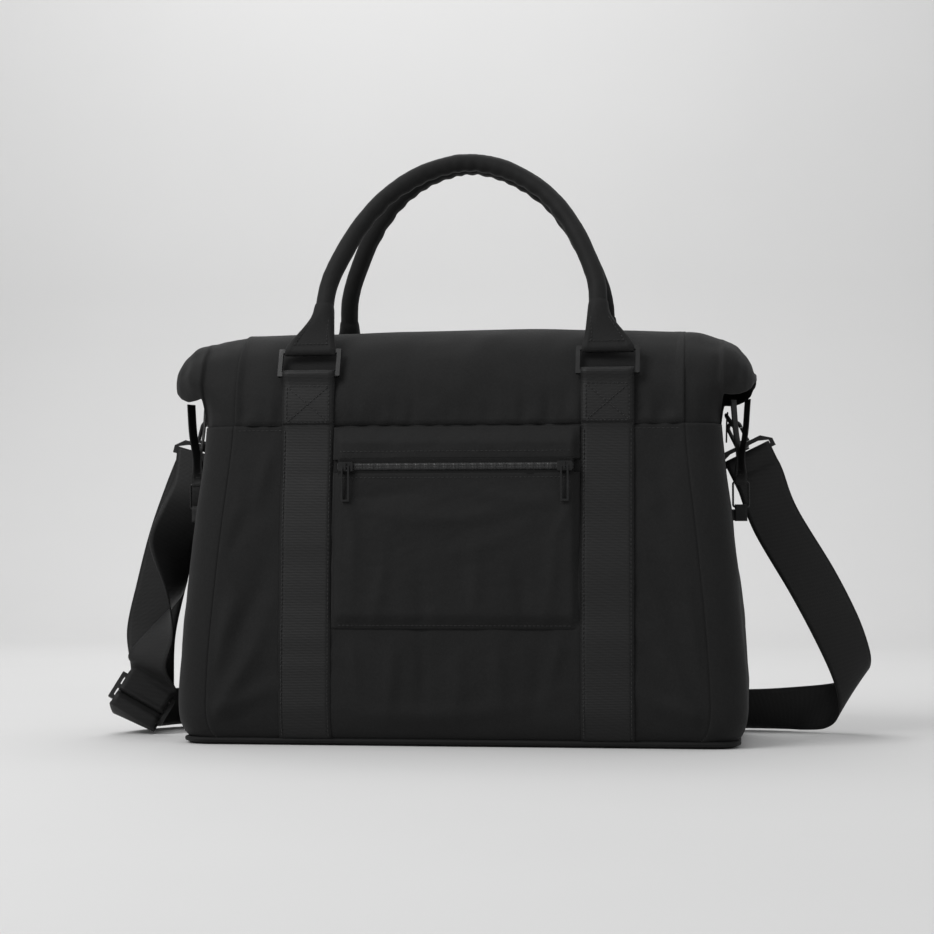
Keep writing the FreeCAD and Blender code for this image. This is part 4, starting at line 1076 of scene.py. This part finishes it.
for side_name, side in SIDES.items():
    low, high = box_of(f"tether_{side_name}")
    middle = (low.x + high.x) / 2
    foot, top = low.z + 1.5, high.z
    # One length goes down from the ear, round the link's top wire and up again to the ear.
    down = [
        (side * 7, -1.5, top + 3), (side * 4.6, -2.2, top - 28), (0, -1.6, foot + 22), (0, -1.2, foot + 6),
        (0, -1.5, foot + 1), (0, 0, foot - 1.2), (0, 1.5, foot + 1), (0, 1.2, foot + 6),
        (-side * 0.5, 1.8, foot + 22), (-side * 4.6, 2.6, top - 28), (-side * 7, 1.8, top + 3),
    ]
    line = smooth_line([Vector((middle + x, TETHER_Y + y, height)) for x, y, height in down])

    def swing(share, side=side):
        return side * 1.15 * smooth((abs(2 * share - 1) - 0.25) / 0.5)

    flat_band(
        f"tether_{side_name}_webbing", line, 12, X_AXIS, NARROW_WEBBING, 1.1, "webbing",
        f"tether_{side_name}", wave=0.25, seed=93 + side, twist=swing,
    )
    stitches = []
    for height in (foot + 8, foot + 12):
        a = [Vector((middle + x, TETHER_Y - 2.15, height)) for x in (-5, -2.5, 0, 2.5, 5)]
        stitches += seam_stitches(a, [Vector((0, -1, 0))] * 5, 2.0, 0.6, 0.3)
    fitted(one_mesh(f"tether_{side_name}_thread", stitches, THREAD), "webbing")

    low, high = box_of(f"tether_tab_{side_name}")
    far = high.x if side > 0 else -low.x
    at = far - 6
    half_way = (low.z + high.z) / 2
    tab = [
        (-1.1, low.z + 0.3), (-1.2, half_way), (-1.5, high.z - 2.6), (0, high.z - 0.6),
        (1.5, high.z - 2.6), (1.2, half_way), (1.1, low.z + 0.3),
    ]
    line = smooth_line([Vector((side * at, TETHER_Y + y, height)) for y, height in tab], 1.2)
    flat_band(
        f"tether_tab_{side_name}_webbing", line, 12, X_AXIS, NARROW_WEBBING, 1.0, "webbing",
        f"tether_tab_{side_name}", wave=0.12, seed=97 + side,
    )
    # The tab's root goes into the gusset's seam.
    root = []
    for i in range(9):
        x = side * (at - 6 + (half_length(low.z + 7) + 4 - at) * (i / 8))
        rise = (high.z - low.z - 6) / 6
        root.append([Vector((x, TETHER_Y - 1.1 + 0.3 * j, low.z + 1 + rise * j)) for j in range(7)])
    made = cloth_sheet(f"tether_tab_{side_name}_root", root, NARROW_WEBBING, 1.6, offset=0)
    fitted(made, "webbing")

    low, high = box_of(f"anchor_{side_name}")
    near = (low.x + high.x) / 2
    wide = high.y - low.y
    anchor = [
        (0, low.z), (0.2, (low.z * 2 + high.z) / 3), (0.5, (low.z + high.z * 2) / 3),
        (1.1, high.z - 2.5), (1.5, high.z - 0.6),
    ]
    line = smooth_line([Vector((near + side * x, 0, height)) for x, height in anchor], 1.5)
    flat_band(
        f"anchor_{side_name}_webbing", line, wide - 0.6, Y_AXIS, NARROW_WEBBING, 1.4,
        "webbing", f"anchor_{side_name}", wave=0.1, seed=99 + side,
    )

# ---------------------------------------------------------------- shoulder strap

# The strap's way as pairs of points, one on each edge. It hangs from the right hook, folds over on
# the floor, runs on its edge behind the bag, turns up through the tri-glide, goes through the left
# hook's eye and comes back down, with a half twist, to the tri-glide.
RIGHT_DROP = [
    ((322, 20, 226), (280, 24, 202)), ((358, 46, 167), (315, 50, 142)), ((382, 70, 121), (340, 74, 95)),
    ((394, 86, 88), (357, 88, 58)), ((396, 98, 71), (364, 96, 33)), ((391, 108, 62), (362, 105, 14)),
    ((378, 115, 56), (350, 113, 4)), ((360, 117, 50), (329, 120, 2)),
]
BEHIND = [
    ((326, 116, 46), (312, 130, 2)), ((281, 115, 43), (276, 139, 2)), ((200, 115, 42), (198, 141, 2)),
    ((100, 116, 43), (100, 141, 2)), ((0, 115, 42), (0, 142, 2)), ((-100, 116, 43), (-100, 140, 2)),
    ((-190, 115, 42), (-192, 141, 2)), ((-240, 115, 42), (-243, 140, 2)), ((-284, 106, 42), (-290, 132, 3)),
    ((-311, 84, 42), (-322, 110, 3)), ((-320, 56, 41), (-346, 74, 4)), ((-318, 34, 26), (-363, 32, 22)),
    ((-321, 14, 4), (-363, 9, 21)),
]
LEFT_RISE = [
    ((-302.5, 18, 95), (-352.5, 18, 104)), ((-292, 15, 143), (-341, 15, 155)),
    ((-278, 12, 193), (-327, 12, 206)), ((-262, 9, 240), (-310, 9, 252)),
]
LEFT_FALL = [
    ((-249, -7, 246), (-298, -11, 254)), ((-262, -3, 217), (-306, -25, 227)),
    ((-280, -1, 187), (-314, -38, 193)), ((-290, 2, 143), (-294, -48, 143)),
    ((-321, -2, 108), (-289, -40, 102)), ((-343, -6, 82), (-301, -22, 68)),
]
# Through the tri-glide, as (height on its plate, distance in front of it).
GLIDE_RUN = [
    (-20, -3), (-17.2, 1.5), (-13.2, 3.8), (-10.1, 3.4), (-6.5, 0), (-2.5, -3.5),
    (2.5, -3.5), (6.5, 0), (10.1, 3.4), (14, 3.8), (20, 4.5),
]
GLIDE_END = [(22, 12), (14, 7.4), (8, 5.6), (2.5, 3.7), (-1.5, 3.4), (-3.3, 0.9)]
GLIDE_ACROSS = Vector((0.85, 0.16, -0.5)).normalized()
GLIDE_UP = Vector((0.38, 0.475, 0.795))
GLIDE_UP = (GLIDE_UP - GLIDE_ACROSS * GLIDE_UP.dot(GLIDE_ACROSS)).normalized()
GLIDE_OUT = GLIDE_ACROSS.cross(GLIDE_UP)
EYES = {"left": (Vector((-272.29, 0, 278.75)), 14), "right": (Vector((274.47, 0, 276.45)), 26)}
EYE_WRAP = 4.18


def eye_place(name, x, y, z):
    bar, tilt = EYES[name]
    turn = Matrix.Rotation(math.radians(-SIDES[name] * tilt), 3, "Y")
    return bar + turn @ Vector((x, y, z))


def bar_rows(name, angles):
    rows = []
    for turn in (math.radians(angle) for angle in angles):
        y, z = -math.cos(turn) * EYE_WRAP, math.sin(turn) * EYE_WRAP
        rows.append((eye_place(name, 24, y, z), eye_place(name, -24, y, z)))
    return rows


def layer_rows(offsets):
    return [(eye_place("right", 24, y, z), eye_place("right", -24, y, z)) for y, z in offsets]


def glide_rows(offsets, first):
    def placed(x, y, z):
        return Vector((-333, 5.5, 35.5)) + GLIDE_ACROSS * x + GLIDE_UP * y + GLIDE_OUT * z
    return [(placed(first * 25, y, z), placed(-first * 25, y, z)) for y, z in offsets]


def loose_rows(pairs):
    return [(Vector(a), Vector(b)) for a, b in pairs]


def strap_rows():
    layer = 2.1
    places = [
        *layer_rows([(2 * layer, -26), (layer * 1.2, -14), (EYE_WRAP * 0.85, -4)]),
        *bar_rows("right", (180, 135, 90, 45, 0)),
        *layer_rows([(-EYE_WRAP * 0.85, -4), (-layer * 0.2, -14), (layer * 0.8, -26)]),
        *loose_rows(RIGHT_DROP), *loose_rows(BEHIND), *glide_rows(GLIDE_RUN, 1), *loose_rows(LEFT_RISE),
        *bar_rows("left", (180, 135, 90, 45, 0)), *loose_rows(LEFT_FALL), *glide_rows(GLIDE_END, -1),
    ]
    stations = list(range(len(places)))
    count = (len(places) - 1) * 8
    edges = []
    for edge in (0, 1):
        tracks = [[row[edge][axis] for row in places] for axis in range(3)]
        edges.append([
            Vector([curve_through(stations, track, (len(places) - 1) * k / count) for track in tracks])
            for k in range(count + 1)
        ])
    rows = []
    for i, (a, b) in enumerate(zip(*edges)):
        before = (edges[0][max(i - 1, 0)] + edges[1][max(i - 1, 0)]) / 2
        after = (edges[0][min(i + 1, count)] + edges[1][min(i + 1, count)]) / 2
        out = (a - b).cross(after - before).normalized()
        free = smooth((i / 8 - 11.5) / 3) * smooth((34.5 - i / 8) / 3)
        free += smooth((i / 8 - 46) / 2) * smooth((50.5 - i / 8) / 1)
        row = []
        for j in range(11):
            share = j / 10
            bow = 0.6 * free * math.sin(share * math.pi)
            bow += 0.5 * free * ripple((share * 30, i * 2.2, 0), 30, 101)
            row.append(a + (b - a) * share + out * bow)
        rows.append(row)
    return rows


strap_grid = strap_rows()
strap = cloth_sheet("strap_webbing", strap_grid, STRAP_WEBBING, 1.5, offset=0)
fitted(strap, "webbing", "shoulder_strap")


def strap_stitches(first, last):
    """Rows of stitches across the strap where its end is sewn down."""
    made = []
    for number in (first, last):
        a, b = strap_grid[number], strap_grid[number + 1]
        out = (a[0] - a[10]).cross(b[5] - a[5]).normalized()
        for way in (1, -1):
            line = [a[j] + out * way * 1.05 for j in range(11)]
            made += seam_stitches(line, [out * way] * 11, 3.0, 1.0, 0.4)
    return made


fitted(one_mesh("strap_thread", strap_stitches(6, 12), THREAD), "webbing")

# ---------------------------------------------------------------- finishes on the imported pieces

FINISH_OF = {
    "ring_": METAL, "d_ring_": METAL, "hook_": METAL, "gate_": METAL, "eye_": METAL, "tri_glide": NYLON,
    "tether_link_": DARK_METAL, "pocket_slider_": DARK_METAL, "top_slider_": DARK_METAL,
    "pocket_pull_": DARK_METAL, "top_pull_": DARK_METAL, "base_board": NYLON,
    "handle_front_core": FOAM, "handle_back_core": FOAM,
}
for node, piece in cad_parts.items():
    chosen = [finish for start, finish in FINISH_OF.items() if node.startswith(start)]
    finish = chosen[0] if chosen else CLOTH  # only hidden pieces take the cloth
    for number in range(len(piece.material_slots)):
        piece.material_slots[number].link = "OBJECT"
        piece.material_slots[number].material = finish

# ---------------------------------------------------------------- room, light and camera

def backdrop():
    """A seamless sweep: floor, cove and wall."""
    finish = Finish("studio paper", Specular_IOR_Level=0.2)
    place = finish.place()
    shade = finish.mix(finish.mottle(place, 2, 2.0), grey(0.64, 0.004), grey(0.67, 0.004))
    finish.into("Base Color", shade)
    finish.into("Roughness", (finish.mottle(place, 30, 2.0) * 0.1 + 0.8).held())
    rows = []
    profile = [(-4200, 0), (-1500, 0), (2500, 0)]
    turns_and_painted_shade = [t * math.pi / 20 for t in range(1, 11)]
    profile += [(2500 + 900 * math.sin(turn), 900 - 900 * math.cos(turn)) for turn in turns_and_painted_shade]
    profile += [(3400, 5200)]
    for y, z in profile:
        rows.append([Vector((x, y, z - 0.2)) for x in (-5200, -1500, 0, 1500, 5200)])
    made = cloth_sheet("studio_sweep", rows, finish.material)
    made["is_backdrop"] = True


def lamp(name, place, target, size, power, shade=(1, 1, 1)):
    light = bpy.data.lights.new(name, "AREA")
    light.shape, light.size, light.energy, light.color = "SQUARE", size, power, shade
    made = bpy.data.objects.new(name, light)
    bpy.context.scene.collection.objects.link(made)
    made.location = place
    made.rotation_euler = (Vector(target) - Vector(place)).to_track_quat("-Z", "Y").to_euler()


backdrop()
lamp("key", (-1.5, -1.7, 2.1), (0, 0, 0.25), 1.4, 48)
lamp("fill", (2.2, -2.0, 1.2), (0, 0, 0.25), 1.8, 5)
lamp("top", (0.1, 0.3, 2.6), (0, 0, 0.2), 2.2, 18)
lamp("wall", (-0.7, 1.9, 2.8), (-0.3, 3.3, 0.9), 2.4, 42)

world = bpy.data.worlds.new("soft room")
world.use_nodes = True
world.node_tree.nodes["Background"].inputs["Color"].default_value = (0.93, 0.94, 0.95, 1)
world.node_tree.nodes["Background"].inputs["Strength"].default_value = 0.46
bpy.context.scene.world = world
bpy.context.scene.view_settings.view_transform = "Standard"

lens = bpy.data.cameras.new("camera")
lens.lens, lens.sensor_width, lens.clip_end = 81.76, 36.0, 50
camera = bpy.data.objects.new("camera", lens)
bpy.context.scene.collection.objects.link(camera)
turn = math.radians(7.1)
camera.location = (2.1 * math.sin(turn), -2.1 * math.cos(turn), 0.170)
camera.rotation_euler = (math.radians(90 + 2.65), 0, turn + math.radians(0.054))
bpy.context.scene.camera = camera

low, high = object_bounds()
